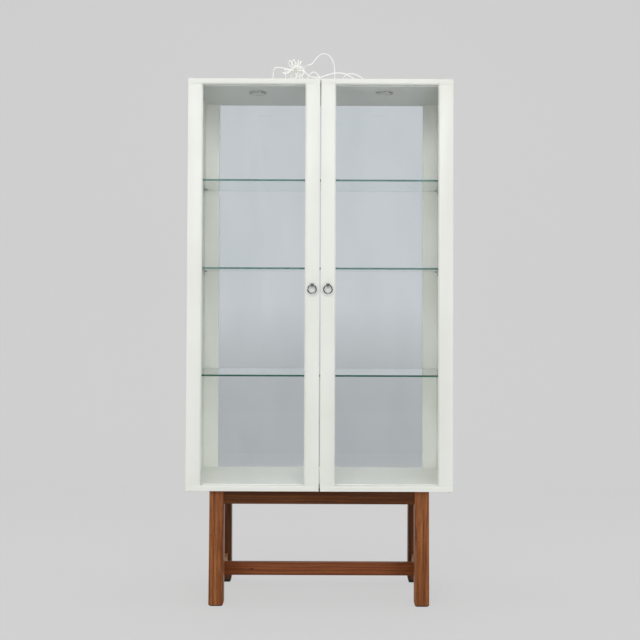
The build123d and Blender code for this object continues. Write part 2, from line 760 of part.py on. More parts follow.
bolts = []
for z0, name in ((lower_rail_bottom, "lower"), (upper_rail_bottom, "upper")):
    rail = side_rail(z0) + side_tenons(z0)
    if name == "lower":
        rail -= stretcher_tenon
    else:
        for y in bolt_y:
            rail -= bolt_bore(y)
            bolt = stand_bolt(y)
            socket = extrude(RegularPolygon(2.3, 6), 2.4)
            socket = Pos(leg_centre_x, y, bolt_seat_z - stand_bolt_head_height) * socket
            bolts += [bolt - socket, mirrored(bolt - socket)]
            bottom_panel -= stand_bolt(y)
            bottom_panel -= mirrored(stand_bolt(y))
    save(f"side_rail_{name}_right", rail)
    save(f"side_rail_{name}_left", mirrored(rail))
save("stand_bolts", *bolts)
save("bottom_panel", bottom_panel)

save("apron_front", cross_rail(leg_inner_x, front_apron_y, upper_rail_bottom))
save("apron_rear", cross_rail(leg_inner_x, rear_apron_y, upper_rail_bottom))
save("stretcher", cross_rail(rail_inner_x, stretcher_y, lower_rail_bottom))


def foot(rear):
    """A black foot under a right leg: a thin glide in front, a taller screwed foot behind."""
    height = rear_foot_height if rear else front_foot_height
    y = leg_face(0, rear) + leg_depth / 2
    pad = extrude(RectangleRounded(foot_size, foot_size, foot_corner_radius), height)
    pad = chamfer(pad.edges().group_by(Axis.Z)[0], height * 0.25)
    if rear:
        pad += Pos(0, 0, height) * extrude(Circle(foot_stem_radius), foot_stem_length)
    return Pos(leg_centre_x, y, 0) * pad


feet = []
for rear in (False, True):
    feet += [foot(rear), mirrored(foot(rear))]
save("feet", *feet)


# Leads, drawn from the middle of the cabinet, the doors' face and the top panel's upper face
on_top = Pos(0, door_front, case_top)
lamp_depth = lamp_y - door_front


def free_lead(name, points, radius):
    """A lead of straight runs joined by tangent arcs, each as large as its two runs allow."""
    radii = []
    for before, here, after in zip(points, points[1:], points[2:]):
        run_in = Vector(*here) - Vector(*before)
        run_out = Vector(*after) - Vector(*here)
        half_turn = radians(run_in.get_angle(run_out)) / 2
        radii.append(0.45 * min(run_in.length, run_out.length) / tan(half_turn))
    route = FilletPolyline(*points, radius=radii)
    start = Plane(origin=points[0], z_dir=Vector(*points[1]) - Vector(*points[0]))
    section = start * RegularPolygon(radius, lead_sides)
    tube = sweep(section, path=route)
    print(f"{name}: length {route.length:.1f}, radii from {min(radii):.1f} to {max(radii):.1f}, "
          f"volume over section times length {tube.volume / (section.area * route.length):.4f}")
    save(name, on_top * tube)


def biarc(p0, t0, p1, t1):
    """Two tangent arcs from one point and direction to another."""
    chord = p1 - p0
    along = t0 + t1
    spread = 2 * (1 - t0.dot(t1))
    reach = (-chord.dot(along) + sqrt(chord.dot(along) ** 2 + spread * chord.dot(chord))) / spread
    joint = (p0 + t0 * reach + p1 - t1 * reach) * 0.5
    first = TangentArc(p0, joint, tangent=t0)
    second = TangentArc(p1, joint, tangent=t1 * -1, tangent_from_first=True)
    return [first, second]


def hank_point(turns):
    """A point of the hank after a number of turns: loops that fan out round a tied waist."""
    across = Vector(-hank_axis.Y, hank_axis.X, 0)
    share = turns / hank_loops
    fan = radians(hank_start_angle + (hank_end_angle - hank_start_angle) * share)
    low = min(int(turns), hank_loops - 1)
    blend = (1 - cos(pi * (turns - low))) / 2
    loop = hank_loop_radii[low] * (1 - blend) + hank_loop_radii[low + 1] * blend
    angle = pi + 2 * pi * turns
    out = hank_waist_radius + loop * (1 - cos(angle))
    outward = across * cos(fan) + Vector(0, 0, sin(fan))
    return Vector(*hank_centre) + outward * out + hank_axis * (loop * sin(angle))


def hank_direction(turns):
    """The direction of the hank's line after a number of turns."""
    step = 1e-4
    return (hank_point(turns + step) - hank_point(turns - step)).normalized()


def hank_route():
    """The hank's centre line: biarcs of a quarter turn, with a straight run at each end."""
    lead_in = hank_axis * (2 * supply_lead_radius)
    marks = [index / 4 for index in range(4 * hank_loops + 1)]
    points = [hank_point(mark) for mark in marks]
    tangents = [hank_direction(mark) for mark in marks]
    tangents[0] = hank_axis * -1
    tangents[-1] = hank_axis * -1
    edges = [Line(points[0] + lead_in, points[0])]
    for index in range(4 * hank_loops):
        edges += biarc(points[index], tangents[index], points[index + 1], tangents[index + 1])
    edges.append(Line(points[-1], points[-1] + tangents[-1] * hank_end_run))
    return Wire([edge.edge() for edge in edges]), points[0] + lead_in, points[-1]


def least_self_gap(wire, radius):
    """The least gap between stretches of one tube that lie apart along it."""
    count = 1200
    points = [wire @ (index / count) for index in range(count + 1)]
    skip = int(8 * radius / wire.length * count) + 1
    least = min((points[i] - points[j]).length for i in range(count + 1) for j in range(i + skip, count + 1))
    return least - 2 * radius


hank_axis = Vector(cos(radians(hank_axis_turn)), sin(radians(hank_axis_turn)), 0)
hank_wire, hank_start, hank_last = hank_route()
hank_plane = Plane(origin=hank_start, x_dir=(0.1, 0.1, 1.0), z_dir=hank_axis * -1)
hank_section = hank_plane * RegularPolygon(supply_lead_radius, lead_sides)
hank = sweep(hank_section, path=hank_wire)
hank_gap = least_self_gap(hank_wire, supply_lead_radius)
print(f"supply_hank: length {hank_wire.length:.1f}, least gap {hank_gap:.2f}, "
      f"volume over section times length {hank.volume / (hank_section.area * hank_wire.length):.4f}")
save("supply_hank", on_top * hank)

tie_inner = hank_waist_radius + supply_lead_radius + seat_gap + 0.3
tie_plane = Plane(origin=hank_centre, z_dir=hank_axis)
tie = extrude(Circle(tie_inner + tie_thickness) - Circle(tie_inner), tie_width)
tie = tie_plane * Pos(0, 0, -tie_width / 2) * tie
save("hank_tie", on_top * tie)

# Plug at the hank's far end
plug_axis = hank_axis * -1
plug_face = hank_last + plug_axis * hank_end_run
plug_plane = Plane(origin=plug_face, x_dir=(0, 0, 1), z_dir=plug_axis)


def plug():
    """A flat two-pin plug that tapers to the lead."""
    length, broad, thick = plug_size
    back = plug_plane * Ellipse(thick * 0.3, broad * 0.22)
    middle = plug_plane.offset(length * 0.4) * RectangleRounded(thick, broad, thick * 0.3)
    front = plug_plane.offset(length) * RectangleRounded(thick, broad, thick * 0.3)
    body = loft([back, middle], ruled=True) + loft([middle, front], ruled=True)
    pins = []
    for side in (-1, 1):
        pin = extrude(Circle(plug_pin_radius), plug_pin_length)
        pin = chamfer(pin.edges().group_by(Axis.Z)[-1], plug_pin_radius * 0.5)
        pins.append(plug_plane * Pos(0, side * plug_pin_spacing / 2, length) * pin)
    return body + pins


save("plug", on_top * plug())

junction_front = junction_place[1] - junction_size[1] / 2
junction_right = junction_place[0] + junction_size[0] / 2
junction_middle = junction_size[2] / 2


def junction():
    """The box that joins the leads."""
    body = fillet(Box(*junction_size).edges().filter_by(Axis.Z), 3.0)
    body = chamfer(body.faces().sort_by(Axis.Z)[-1].edges(), 1.0)
    seam = Box(junction_size[0] + 2, junction_size[1] + 2, 0.6)
    seam -= Box(junction_size[0] - 1, junction_size[1] - 1, 1)
    return Pos(junction_place[0], junction_place[1], junction_middle) * (body - seam)


save("junction_box", on_top * junction())

left_lead = [(-lamp_x + cover_nozzle_reach, lamp_depth, cover_nozzle_radius),
             (-178, lamp_depth, cover_nozzle_radius),
             (-170, 137, 9), (-166, 132, 27), (-164, 128, 45), (-155, 124, 56), (-141, 124, 58),
             (-131, 132, 51), (-130, 147, 37), (-128, 163, 20), (-118, 175, 7), (-100, 178, 1.9),
             (-78, 168, 1.8), (-60, 150, 3), (-51, 128, 12), (-44, 109, 26), (-36, 98, 37), (-26, 95, 41),
             (-15, 97, 36), (-4, 103, 22), (4, 115, 9), (9, 135, 2.2), (12, 158, 1.8), (11, 181, 2.4),
             (13, 199, 6), (junction_lead_x[1], 213, junction_middle),
             (junction_lead_x[1], junction_front, junction_middle)]
right_lead = [(lamp_x - cover_nozzle_reach, lamp_depth, cover_nozzle_radius),
              (178, lamp_depth, cover_nozzle_radius),
              (168, 138, 6), (156, 132, 16), (143, 126, 27), (127, 121, 35), (110, 118, 40), (94, 118, 39),
              (81, 122, 31), (73, 127, 19), (71.5, 130, 9.5), (65, 132, 2.2), (54.5, 132, 2.2),
              (48.5, 130, 9.5), (47.5, 126, 20), (47.5, 121, 37), (47, 116, 56), (44, 113, 75),
              (36, 111, 93), (23, 110, 105), (8, 110, 108), (-6, 110, 102), (-18, 110, 89), (-28, 111, 75),
              (-38, 115, 67), (-49, 125, 64.5), (-55, 140, 62), (-59, 154, 52), (-63, 165, 37), (-64, 178, 20),
              (-60, 189, 7), (-52, 195, 2.4), (-36, 197, 1.8), (-22, 198, 3), (-11, 203, 6.5),
              (junction_lead_x[0], 213.5, junction_middle),
              (junction_lead_x[0], junction_front, junction_middle)]
supply_lead = [tuple(hank_start), tuple(hank_start + hank_axis * 10), (-107, 60.5, 35), (-97, 57, 44),
               (-86, 56, 51.5), (-75, 57, 52.5), (-65, 60, 46), (-56, 64, 35), (-47, 69, 25),
               (-36, 75, 19), (-21, 80, 17.5), (-4, 87, 19), (10, 92, 24.5),
               (27, 96, 32), (45, 99, 37), (62, 100, 38.5), (80, 100.5, 36), (97, 101, 29), (112, 103, 20),
               (126, 108, 10), (136, 118, 3.2), (141, 134, 2.2), (138, 155, 2.1), (127, 178, 2.1),
               (110, 200, 2.4), (90, 218, 4.5), (70, 231, 7.5), (55, junction_place[1], junction_middle),
               (junction_right, junction_place[1], junction_middle)]
free_lead("lamp_lead_left", left_lead, lamp_lead_radius)
free_lead("lamp_lead_right", right_lead, lamp_lead_radius)
free_lead("supply_lead", supply_lead, supply_lead_radius)
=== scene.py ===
"""Display cabinet: the looks of a white glass cabinet on a stained wooden stand.

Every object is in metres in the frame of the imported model: X to the right, the doors face -Y, Z up.
Lengths in this file are written in millimetres and turned to metres by MM.
"""
import logging
import math
from dataclasses import dataclass, field
from enum import Enum
from functools import partial
from typing import Any, Callable, Iterable, Sequence

import bmesh
import bpy
from mathutils import Matrix, Vector


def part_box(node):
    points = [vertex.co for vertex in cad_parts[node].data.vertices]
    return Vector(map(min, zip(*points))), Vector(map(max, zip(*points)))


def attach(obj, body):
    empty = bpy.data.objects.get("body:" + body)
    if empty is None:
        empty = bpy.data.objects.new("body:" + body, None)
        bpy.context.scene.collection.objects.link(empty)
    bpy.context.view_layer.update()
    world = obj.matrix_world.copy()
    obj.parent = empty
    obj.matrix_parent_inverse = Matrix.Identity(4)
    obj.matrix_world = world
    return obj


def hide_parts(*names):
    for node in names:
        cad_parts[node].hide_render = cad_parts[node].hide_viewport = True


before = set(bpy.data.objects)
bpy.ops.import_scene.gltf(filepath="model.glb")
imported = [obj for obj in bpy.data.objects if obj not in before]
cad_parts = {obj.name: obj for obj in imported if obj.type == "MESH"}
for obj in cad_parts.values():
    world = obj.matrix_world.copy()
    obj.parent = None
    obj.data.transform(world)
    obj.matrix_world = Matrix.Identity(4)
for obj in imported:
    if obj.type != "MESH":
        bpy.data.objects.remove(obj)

MM = 0.001
UP = Vector((0, 0, 1))
LOG = logging.getLogger("display_cabinet")
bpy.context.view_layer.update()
STUDIO_GREY = "#CFCFCF"

Tree = bpy.types.NodeTree
Node = bpy.types.Node
Socket = bpy.types.NodeSocket
Mesh = bpy.types.Mesh
Piece = bpy.types.Object
Work = bmesh.types.BMesh
Pair = tuple[float, float]
Triple = tuple[float, float, float]
Fill = Callable[[Work], None]
Add = Callable[..., Node]


class Body(Enum):
    """The moving bodies that a piece can ride on."""

    CASE = "case"
    DOOR_LEFT = "door_left"
    DOOR_RIGHT = "door_right"
    RING_LEFT = "ring_left"
    RING_RIGHT = "ring_right"


class Side(Enum):
    """The left and the right half of the cabinet, with the sign of X there."""

    LEFT = -1
    RIGHT = 1

    @property
    def word(self) -> str:
        """The word that node names use."""
        return self.name.lower()

    @property
    def door(self) -> Body:
        """The door body of this side."""
        return Body(f"door_{self.word}")

    @property
    def ring(self) -> Body:
        """The ring body of this side."""
        return Body(f"ring_{self.word}")


class Grain(Enum):
    """The direction of the wood grain in a member, as the turn that brings it to Z."""

    ALONG_X = (0.0, math.pi / 2, 0.0)
    ALONG_Y = (math.pi / 2, 0.0, 0.0)
    ALONG_Z = (0.0, 0.0, 0.0)


# Shader helpers
def linear(code: str) -> tuple[float, float, float, float]:
    """Turn an sRGB hex colour to linear RGBA.

    Args:
        code: a colour such as "#E9EAE6".

    Returns:
        The linear colour with an alpha of 1.
    """
    shares = [int(code[i:i + 2], 16) / 255 for i in (1, 3, 5)]
    curve = [s / 12.92 if s <= 0.04045 else ((s + 0.055) / 1.055) ** 2.4 for s in shares]
    return (curve[0], curve[1], curve[2], 1.0)


def grey(value: float) -> tuple[float, float, float, float]:
    """A grey of that linear value."""
    return (value, value, value, 1.0)


def add_node(tree: Tree, kind: str, inputs: dict[Any, Any] | Sequence[Any] = (), operation: str = "",
             stops: Sequence[tuple[float, Any]] = (), **settings: Any) -> Node:
    """Add a node with its settings and links.

    Args:
        tree: the node tree that takes the node.
        kind: the node's type, where a shader node's leaves out its first word.
        inputs: values, hex colours, sockets or nodes, in the order of the inputs or by an input's name
            or number. A node stands for its first output.
        operation: the node's operation, where it has one.
        stops: places and colours of a colour ramp.
        settings: properties of the node.

    Returns:
        The new node.
    """
    node = tree.nodes.new(kind if "Node" in kind else f"ShaderNode{kind}")
    for name, value in settings.items():
        setattr(node, name, value)
    if operation:
        node.operation = operation
    if stops:
        ramp = node.color_ramp
        while len(ramp.elements) < len(stops):
            ramp.elements.new(0.5)
        for element, (place, colour) in zip(ramp.elements, stops):
            element.position = place
            element.color = linear(colour) if isinstance(colour, str) else colour
    for key, value in inputs.items() if isinstance(inputs, dict) else enumerate(inputs):
        if isinstance(value, Node):
            value = value.outputs[0]
        if isinstance(value, Socket):
            tree.links.new(value, node.inputs[key])
        else:
            node.inputs[key].default_value = linear(value) if isinstance(value, str) else value
    return node


def emptied(owner: bpy.types.ID) -> Add:
    """Clear the node tree of a material or a world, and give the function that adds nodes to it."""
    owner.use_nodes = True
    owner.node_tree.nodes.clear()
    return partial(add_node, owner.node_tree)


def per_metre(size_mm: float) -> float:
    """The scale of a texture whose pattern has that size in millimetres."""
    return 1.0 / (size_mm * MM)


def waves_per_metre(size_mm: float) -> float:
    """The scale of a wave texture whose waves have that length in millimetres."""
    return math.tau / 20.0 / (size_mm * MM)


def seen(add: Add) -> Node:
    """A factor that is 1 for the rays that show a background: camera, gloss and transmission."""
    path = add("LightPath").outputs
    first = add("Math", [path["Is Camera Ray"], path["Is Glossy Ray"]], "MAXIMUM")
    return add("Math", [first, path["Is Transmission Ray"]], "MAXIMUM")


class Finish:
    """A surface finish that makes its material once and hands it out again."""

    name: str = "Finish"
    _made: dict[str, bpy.types.Material] = {}

    def material(self) -> bpy.types.Material:
        """The material of this finish, made on first use."""
        if self.name not in Finish._made:
            material = bpy.data.materials.new(self.name)
            add = emptied(material)
            place = add("TexCoord").outputs["Object"]
            add("OutputMaterial", {"Surface": self.surface(add, place)})
            Finish._made[self.name] = material
        return Finish._made[self.name]

    def surface(self, add: Add, place: Socket) -> Node:
        """Build the shader.

        Args:
            add: the function that adds a node to the material.
            place: Object coordinates in metres.

        Returns:
            The last node of the shader.
        """
        raise NotImplementedError

    @staticmethod
    def lit(add: Add, worn: Any, gloss: Pair, height: Any, relief: Pair, inputs: dict[str, Any]) -> Node:
        """A surface whose gloss breaks up and whose relief follows a pattern.

        Args:
            add: the function that adds a node to the material.
            worn: the noise that breaks up the gloss.
            gloss: the roughness where that noise is low and where it is high.
            height: the pattern of the relief.
            relief: the strength of the relief and its depth in millimetres.
            inputs: the other inputs of the surface.

        Returns:
            The last node of the shader.
        """
        rough = add("MapRange", [worn, 0.3, 0.7, gloss[0], gloss[1]])
        bump = add("Bump", {"Height": height, "Strength": relief[0], "Distance": relief[1] * MM})
        return add("BsdfPrincipled", {"Roughness": rough, "Normal": bump, **inputs})


@dataclass(frozen=True)
class SprayedLacquer(Finish):
    """Fibreboard with a sprayed satin lacquer: a soft even white whose gloss breaks up in a faint peel."""

    name: str = "Fibreboard_white_lacquer_sprayed"
    colour: str = "#EEEFEA"
    shade: str = "#E9EAE4"
    cloud_mm: float = 240.0
    rub_mm: float = 80.0 / 3
    peel_mm: float = 1.8
    gloss: Pair = (0.30, 0.42)

    def surface(self, add: Add, place: Socket) -> Node:
        """The lacquer, with clouds of tone, rubbed patches in the gloss and a fine peel."""
        cloud, rubbed, peel = (
            add("TexNoise", {"Vector": place, "Scale": per_metre(size), "Detail": detail})
            for size, detail in ((self.cloud_mm, 3.0), (self.rub_mm, 5.0), (self.peel_mm, 1.0)))
        tone = add("ValToRGB", {"Fac": cloud}, stops=[(0.35, self.shade), (0.62, self.colour)])
        return self.lit(add, rubbed, self.gloss, peel, (0.10, 0.02), {"Base Color": tone, "IOR": 1.48})


@dataclass(frozen=True)
class FloatGlass(Finish):
    """Float glass, cut and set in: clear, with a cool breath of green and the light film of a used pane."""

    name: str = "Float_glass_clear_drawn"
    colour: str = "#FDFEFF"
    film: str = "#F8FAFB"
    shadow: str = "#FFFFFD"
    film_mm: float = 160.0
    roughness: float = 0.0
    transmission: float = 1.0

    def surface(self, add: Add, place: Socket) -> Node:
        """Refracting glass that lets shadow rays through, with wiped smears in its tint."""
        streaks = add("Mapping", {"Vector": place, "Scale": (1.0, 1.0, 0.35)})
        smear = add("TexNoise", {"Vector": streaks, "Scale": per_metre(self.film_mm), "Detail": 4.0,
                                 "Distortion": 0.8})
        tint = add("ValToRGB", {"Fac": smear}, stops=[(0.40, self.colour), (0.72, self.film)])
        glass = add("BsdfPrincipled", {"Base Color": tint, "Roughness": self.roughness, "IOR": 1.5,
                                       "Transmission Weight": self.transmission})
        clear = add("BsdfTransparent", {"Color": self.shadow})
        path = add("LightPath").outputs
        return add("MixShader", [path["Is Shadow Ray"], glass, clear])


@dataclass(frozen=True)
class GroundGlassEdge(FloatGlass):
    """The ground edge of a glass shelf: the light that runs along the pane makes it a deep sea green."""

    name: str = "Float_glass_edge_ground"
    colour: str = "#125E4D"
    film: str = "#0A4336"
    shadow: str = "#7FB0A4"
    film_mm: float = 9.0
    roughness: float = 0.22
    transmission: float = 0.12


@dataclass(frozen=True)
class Metal(Finish):
    """A metal surface with its own tone, polish and brushing marks."""

    name: str = "Chrome_plated_polished"
    colour: str = "#B7B9BB"
    worn: str = "#9C9EA0"
    gloss: Pair = (0.04, 0.10)
    mark_mm: float = 1.2
    relief: float = 0.05
    stretch: Triple = (1.0, 1.0, 1.0)

    def surface(self, add: Add, place: Socket) -> Node:
        """Polished or brushed metal with fine marks that break its gloss."""
        lie = add("Mapping", {"Vector": place, "Scale": self.stretch})
        marks = add("TexNoise", {"Vector": lie, "Scale": per_metre(self.mark_mm), "Detail": 6.0,
                                 "Roughness": 0.65})
        tone = add("ValToRGB", {"Fac": marks}, stops=[(0.30, self.worn), (0.60, self.colour)])
        return self.lit(add, marks, self.gloss, marks, (self.relief, 0.05),
                        {"Base Color": tone, "Metallic": 1.0})


# Chrome is a clear mirror with hairlines, and plated zinc a soft grey shine over the grain of the casting.
CHROME = Metal()
ZINC = Metal("Zinc_alloy_nickel_plated_die_cast", "#B9BBBB", "#98999A", (0.20, 0.38), 2.2, 0.12)
# Brushed nickel is warm and streaked along Z, and raw cast aluminium dull and grainy.
NICKEL = Metal("Steel_brushed_nickel", "#C6C5C1", "#A9A8A4", (0.18, 0.32), 0.9, 0.10, (1.0, 1.0, 0.08))
ALUMINIUM = Metal("Aluminium_die_cast", "#A7A9AB", "#8C8E90", (0.38, 0.55), 1.4, 0.30)


@dataclass(frozen=True)
class Moulded(Finish):
    """A moulded plastic or rubber with a fine spark texture."""

    name: str = "ABS_white_moulded"
    colour: str = "#E4E3DE"
    shade: str = "#D8D7D0"
    roughness: float = 0.38
    grain_mm: float = 0.7
    relief: float = 0.12
    tone_mm: float = 14.0
    transmission: float = 0.0

    def surface(self, add: Add, place: Socket) -> Node:
        """The moulded surface, with slow changes of tone under a fine grain."""
        slow, grain = (add("TexNoise", {"Vector": place, "Scale": per_metre(size), "Detail": detail})
                       for size, detail in ((self.tone_mm, 3.0), (self.grain_mm, 2.0)))
        tone = add("ValToRGB", {"Fac": slow}, stops=[(0.36, self.shade), (0.62, self.colour)])
        return self.lit(add, slow, (self.roughness * 0.85, self.roughness * 1.2), grain,
                        (self.relief, 0.05),
                        {"Base Color": tone, "IOR": 1.5, "Transmission Weight": self.transmission})


# White ABS has a satin skin, the powder coat a faint grain, black polyamide a dull one.
WHITE_PLASTIC = Moulded()
WHITE_COAT = Moulded("Steel_white_powder_coated", "#E6E7E2", "#DCDDD7", 0.42, 0.9, 0.20, 20.0)
BLACK_PLASTIC = Moulded("Polyamide_black_moulded", "#1B1B1B", "#101010", 0.5, 1.0, 0.3)
# Black rubber swallows light, cast polyurethane is milky, PVC cable smooth, and the tie is a yellower white.
BLACK_RUBBER = Moulded("Rubber_black_extruded", "#161616", "#0C0C0C", 0.62, 0.9, 0.2)
CLEAR_RUBBER = Moulded("Polyurethane_clear_cast", "#DDE0DA", "#CBD0C8", 0.3, 1.0, 0.1, 5.0, 0.6)
WHITE_CABLE = Moulded("PVC_white_extruded_cable", "#FCFCFA", "#F3F3EF", 0.36, 1.5, 0.10, 35.0)
WHITE_TIE = Moulded("Polyamide_natural_moulded_tie", "#DDDBD0", "#CBC8B8", 0.42, 0.8, 0.15, 6.0)


@dataclass(frozen=True)
class FrostedLens(Finish):
    """A polycarbonate lens, moulded with fine ring prisms: pale and milky when the light is off."""

    name: str = "Polycarbonate_frosted_moulded_lens"
    colour: str = "#EDEEEA"
    shade: str = "#D6D8D4"
    ring_mm: float = 1.6

    def surface(self, add: Add, place: Socket) -> Node:
        """Rings round the Z axis, as colour and as relief."""
        rings = add("TexWave", {"Vector": place, "Scale": waves_per_metre(self.ring_mm),
                                "Distortion": 0.0}, wave_type="RINGS", rings_direction="Z")
        tone = add("ValToRGB", {"Fac": rings}, stops=[(0.2, self.shade), (0.8, self.colour)])
        bump = add("Bump", {"Height": rings, "Strength": 0.5, "Distance": 0.25 * MM})
        return add("BsdfPrincipled", {"Base Color": tone, "Roughness": 0.28, "IOR": 1.58,
                                      "Transmission Weight": 0.10, "Normal": bump})


@dataclass(frozen=True)
class StainedBeech(Finish):
    """Planed beech with a red brown stain: darker and lighter streaks along each member, with small flecks.

    The flecks of beech are about 0.3 mm by 3 mm and would not show, so they are drawn four times as coarse.
    """

    name: str = "Beech_planed_stained"
    grain: Grain = Grain.ALONG_Z
    offset: Triple = (0.0, 0.0, 0.0)
    dark: str = "#64341A"
    middle: str = "#8A5029"
    light: str = "#A4683A"
    line: str = "#4A2411"
    bend_mm: float = 260.0
    ring_mm: float = 11.0
    streak_mm: Pair = (13.0, 900.0)
    fine_mm: Pair = (2.4, 420.0)
    fleck_mm: Pair = (1.2, 14.0)
    knot: Triple | None = None
    knot_radius_mm: float = 3.0

    def surface(self, add: Add, place: Socket) -> Node:
        """Stained wood whose streaks, fine lines and flecks follow the member."""
        turned = add("Mapping", {"Vector": place, "Rotation": self.grain.value, "Location": self.offset})
        bend = add("TexNoise", {"Vector": turned, "Scale": per_metre(self.bend_mm),
                                "Detail": 1.0}).outputs["Color"]
        drift = add("VectorMath", [bend, (0.010, 0.010, 0.0)], "MULTIPLY")
        flow = add("VectorMath", [turned, drift], "ADD")
        patterns = []
        for (wide, long), detail in ((self.streak_mm, 3.0), (self.fine_mm, 2.0), (self.fleck_mm, 0.0)):
            scale = (per_metre(wide), per_metre(wide), per_metre(long))
            lie = add("Mapping", {"Vector": flow, "Scale": scale})
            patterns.append(add("TexNoise", {"Vector": lie, "Scale": 1.0, "Detail": detail,
                                             "Roughness": 0.6}))
        streaks, lines, flecks = patterns
        mixed = add("Mix", {0: 0.45, 2: streaks, 3: lines})
        stain = [(0.36, self.dark), (0.50, self.middle), (0.64, self.light)]
        colour = add("ValToRGB", {"Fac": mixed}, stops=stain).outputs[0]
        board = add("Mapping", {"Vector": flow, "Rotation": (0.0, 0.0, math.radians(33.0)),
                                "Scale": (1.0, 1.0, 0.07)})
        rings = add("TexWave", {"Vector": board, "Scale": waves_per_metre(self.ring_mm),
                                "Distortion": 5.0, "Detail": 2.0, "Detail Scale": 0.8}, wave_type="BANDS",
                    bands_direction="X", wave_profile="SAW")
        late = add("MapRange", [rings, 0.55, 0.98, 0.0, 0.42])
        pore = add("MapRange", [flecks, 0.66, 0.78, 0.0, 0.45])
        marks = [(late, self.line), (pore, self.line)]
        if self.knot is not None:
            away = add("VectorMath", [place, self.knot], "SUBTRACT")
            flat = add("VectorMath", [away, (0.6, 0.25, 1.0)], "MULTIPLY")
            reach = add("VectorMath", [flat], "LENGTH").outputs["Value"]
            eye = add("MapRange", [reach, self.knot_radius_mm * 0.4 * MM, self.knot_radius_mm * 1.6 * MM,
                                   0.85, 0.0])
            marks.append((eye, "#2A140C"))
        for share, tone in marks:
            colour = add("Mix", {0: share, 6: colour, 7: tone}, data_type="RGBA").outputs[2]
        return self.lit(add, lines, (0.36, 0.52), mixed, (0.30, 0.25),
                        {"Base Color": colour, "IOR": 1.5, "Specular IOR Level": 0.28})


@dataclass(frozen=True)
class SeamlessPaper(Finish):
    """Seamless studio paper, matt, that shows mostly its own grey and still takes a soft shadow.

    Glass shows it darker towards the floor, a painted shade of the case on the paper. Gloss shows the
    floor in front of the cabinet dimmer, a painted dark reflection. From behind, the paper is clear.
    """

    name: str = "Paper_seamless_matt"
    tone_through_glass: str = "#CED3D6"
    fibre_mm: float = 3.0
    glow: float = 1.07
    glow_through_glass: float = 1.06
    glow_share: float = 0.80

    def surface(self, add: Add, place: Socket) -> Node:
        """Matt paper under a glow of its own, for the rays that show a background."""
        fibre = add("TexNoise", {"Vector": place, "Scale": per_metre(self.fibre_mm), "Detail": 3.0})
        tone = add("ValToRGB", {"Fac": fibre}, stops=[(0.2, "#CDCDCD"), (0.8, "#D1D1D1")])
        paper = add("BsdfDiffuse", {"Color": tone})
        axes = add("SeparateXYZ", [place]).outputs
        # Painted shade: seen through glass, the paper darkens from about 1 m down towards the floor.
        painted_shade_ramp = add("ValToRGB", {"Fac": axes["Z"]}, stops=[
            (0.0, grey(0.74)), (0.10, grey(0.61)), (0.55, grey(0.70)), (1.0, grey(1.0))])
        path = add("LightPath").outputs
        through = path["Is Transmission Ray"]
        behind = add("Math", [painted_shade_ramp, self.glow_through_glass], "MULTIPLY")
        # Painted dark reflection: gloss shows the paper dimmer towards the front of the cabinet.
        dim = add("MapRange", [axes["Y"], -0.9, 0.1, 0.25, 1.0])
        gloss = add("Mix", {0: path["Is Glossy Ray"], 2: 1.0, 3: dim})
        front = add("Math", [gloss, self.glow], "MULTIPLY")
        strength = add("Mix", {0: through, 2: front, 3: behind})
        tint = add("Mix", {0: through, 6: STUDIO_GREY, 7: self.tone_through_glass},
                   data_type="RGBA").outputs[2]
        glow = add("Emission", {"Color": tint, "Strength": strength})
        share = add("Math", [seen(add), self.glow_share], "MULTIPLY")
        mixed = add("MixShader", [share, paper, glow])
        rear = add("NewGeometry").outputs["Backfacing"]
        return add("MixShader", [rear, mixed, add("BsdfTransparent")])


# Mesh helpers
def plain_mesh(piece: Piece) -> None:
    """Turn a piece with modifiers into a plain mesh and remove the modifiers."""
    evaluated = piece.evaluated_get(bpy.context.evaluated_depsgraph_get())
    mesh = bpy.data.meshes.new_from_object(evaluated)
    mesh.name = piece.name
    piece.modifiers.clear()
    piece.data = mesh


def new_piece(name: str, mesh: Mesh | bpy.types.Curve | None, *finishes: Finish) -> Piece:
    """An object at the origin with its materials and, where no shape is given, an empty mesh."""
    data = bpy.data.meshes.new(name) if mesh is None else mesh
    for finish in finishes:
        data.materials.append(finish.material())
    piece = bpy.data.objects.new(name, data)
    bpy.context.scene.collection.objects.link(piece)
    return piece


def settle(piece: Piece, body: Body, nodes: Iterable[str] = ()) -> Piece:
    """Say what a finished piece rides on and which nodes it stands for.

    Args:
        piece: the finished object, at the origin.
        body: the body that carries it.
        nodes: the CAD nodes that it replaces.

    Returns:
        The same piece.
    """
    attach(piece, body.value)
    names = list(nodes)
    if names:
        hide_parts(*names)
    LOG.info("%s rides on %s", piece.name, body.value)
    return piece


def smooth_by_angle(mesh: Mesh, degrees: float) -> None:
    """Smooth shading, with the edges sharper than an angle kept."""
    mesh.shade_smooth()
    mesh.set_sharp_from_angle(angle=math.radians(degrees))


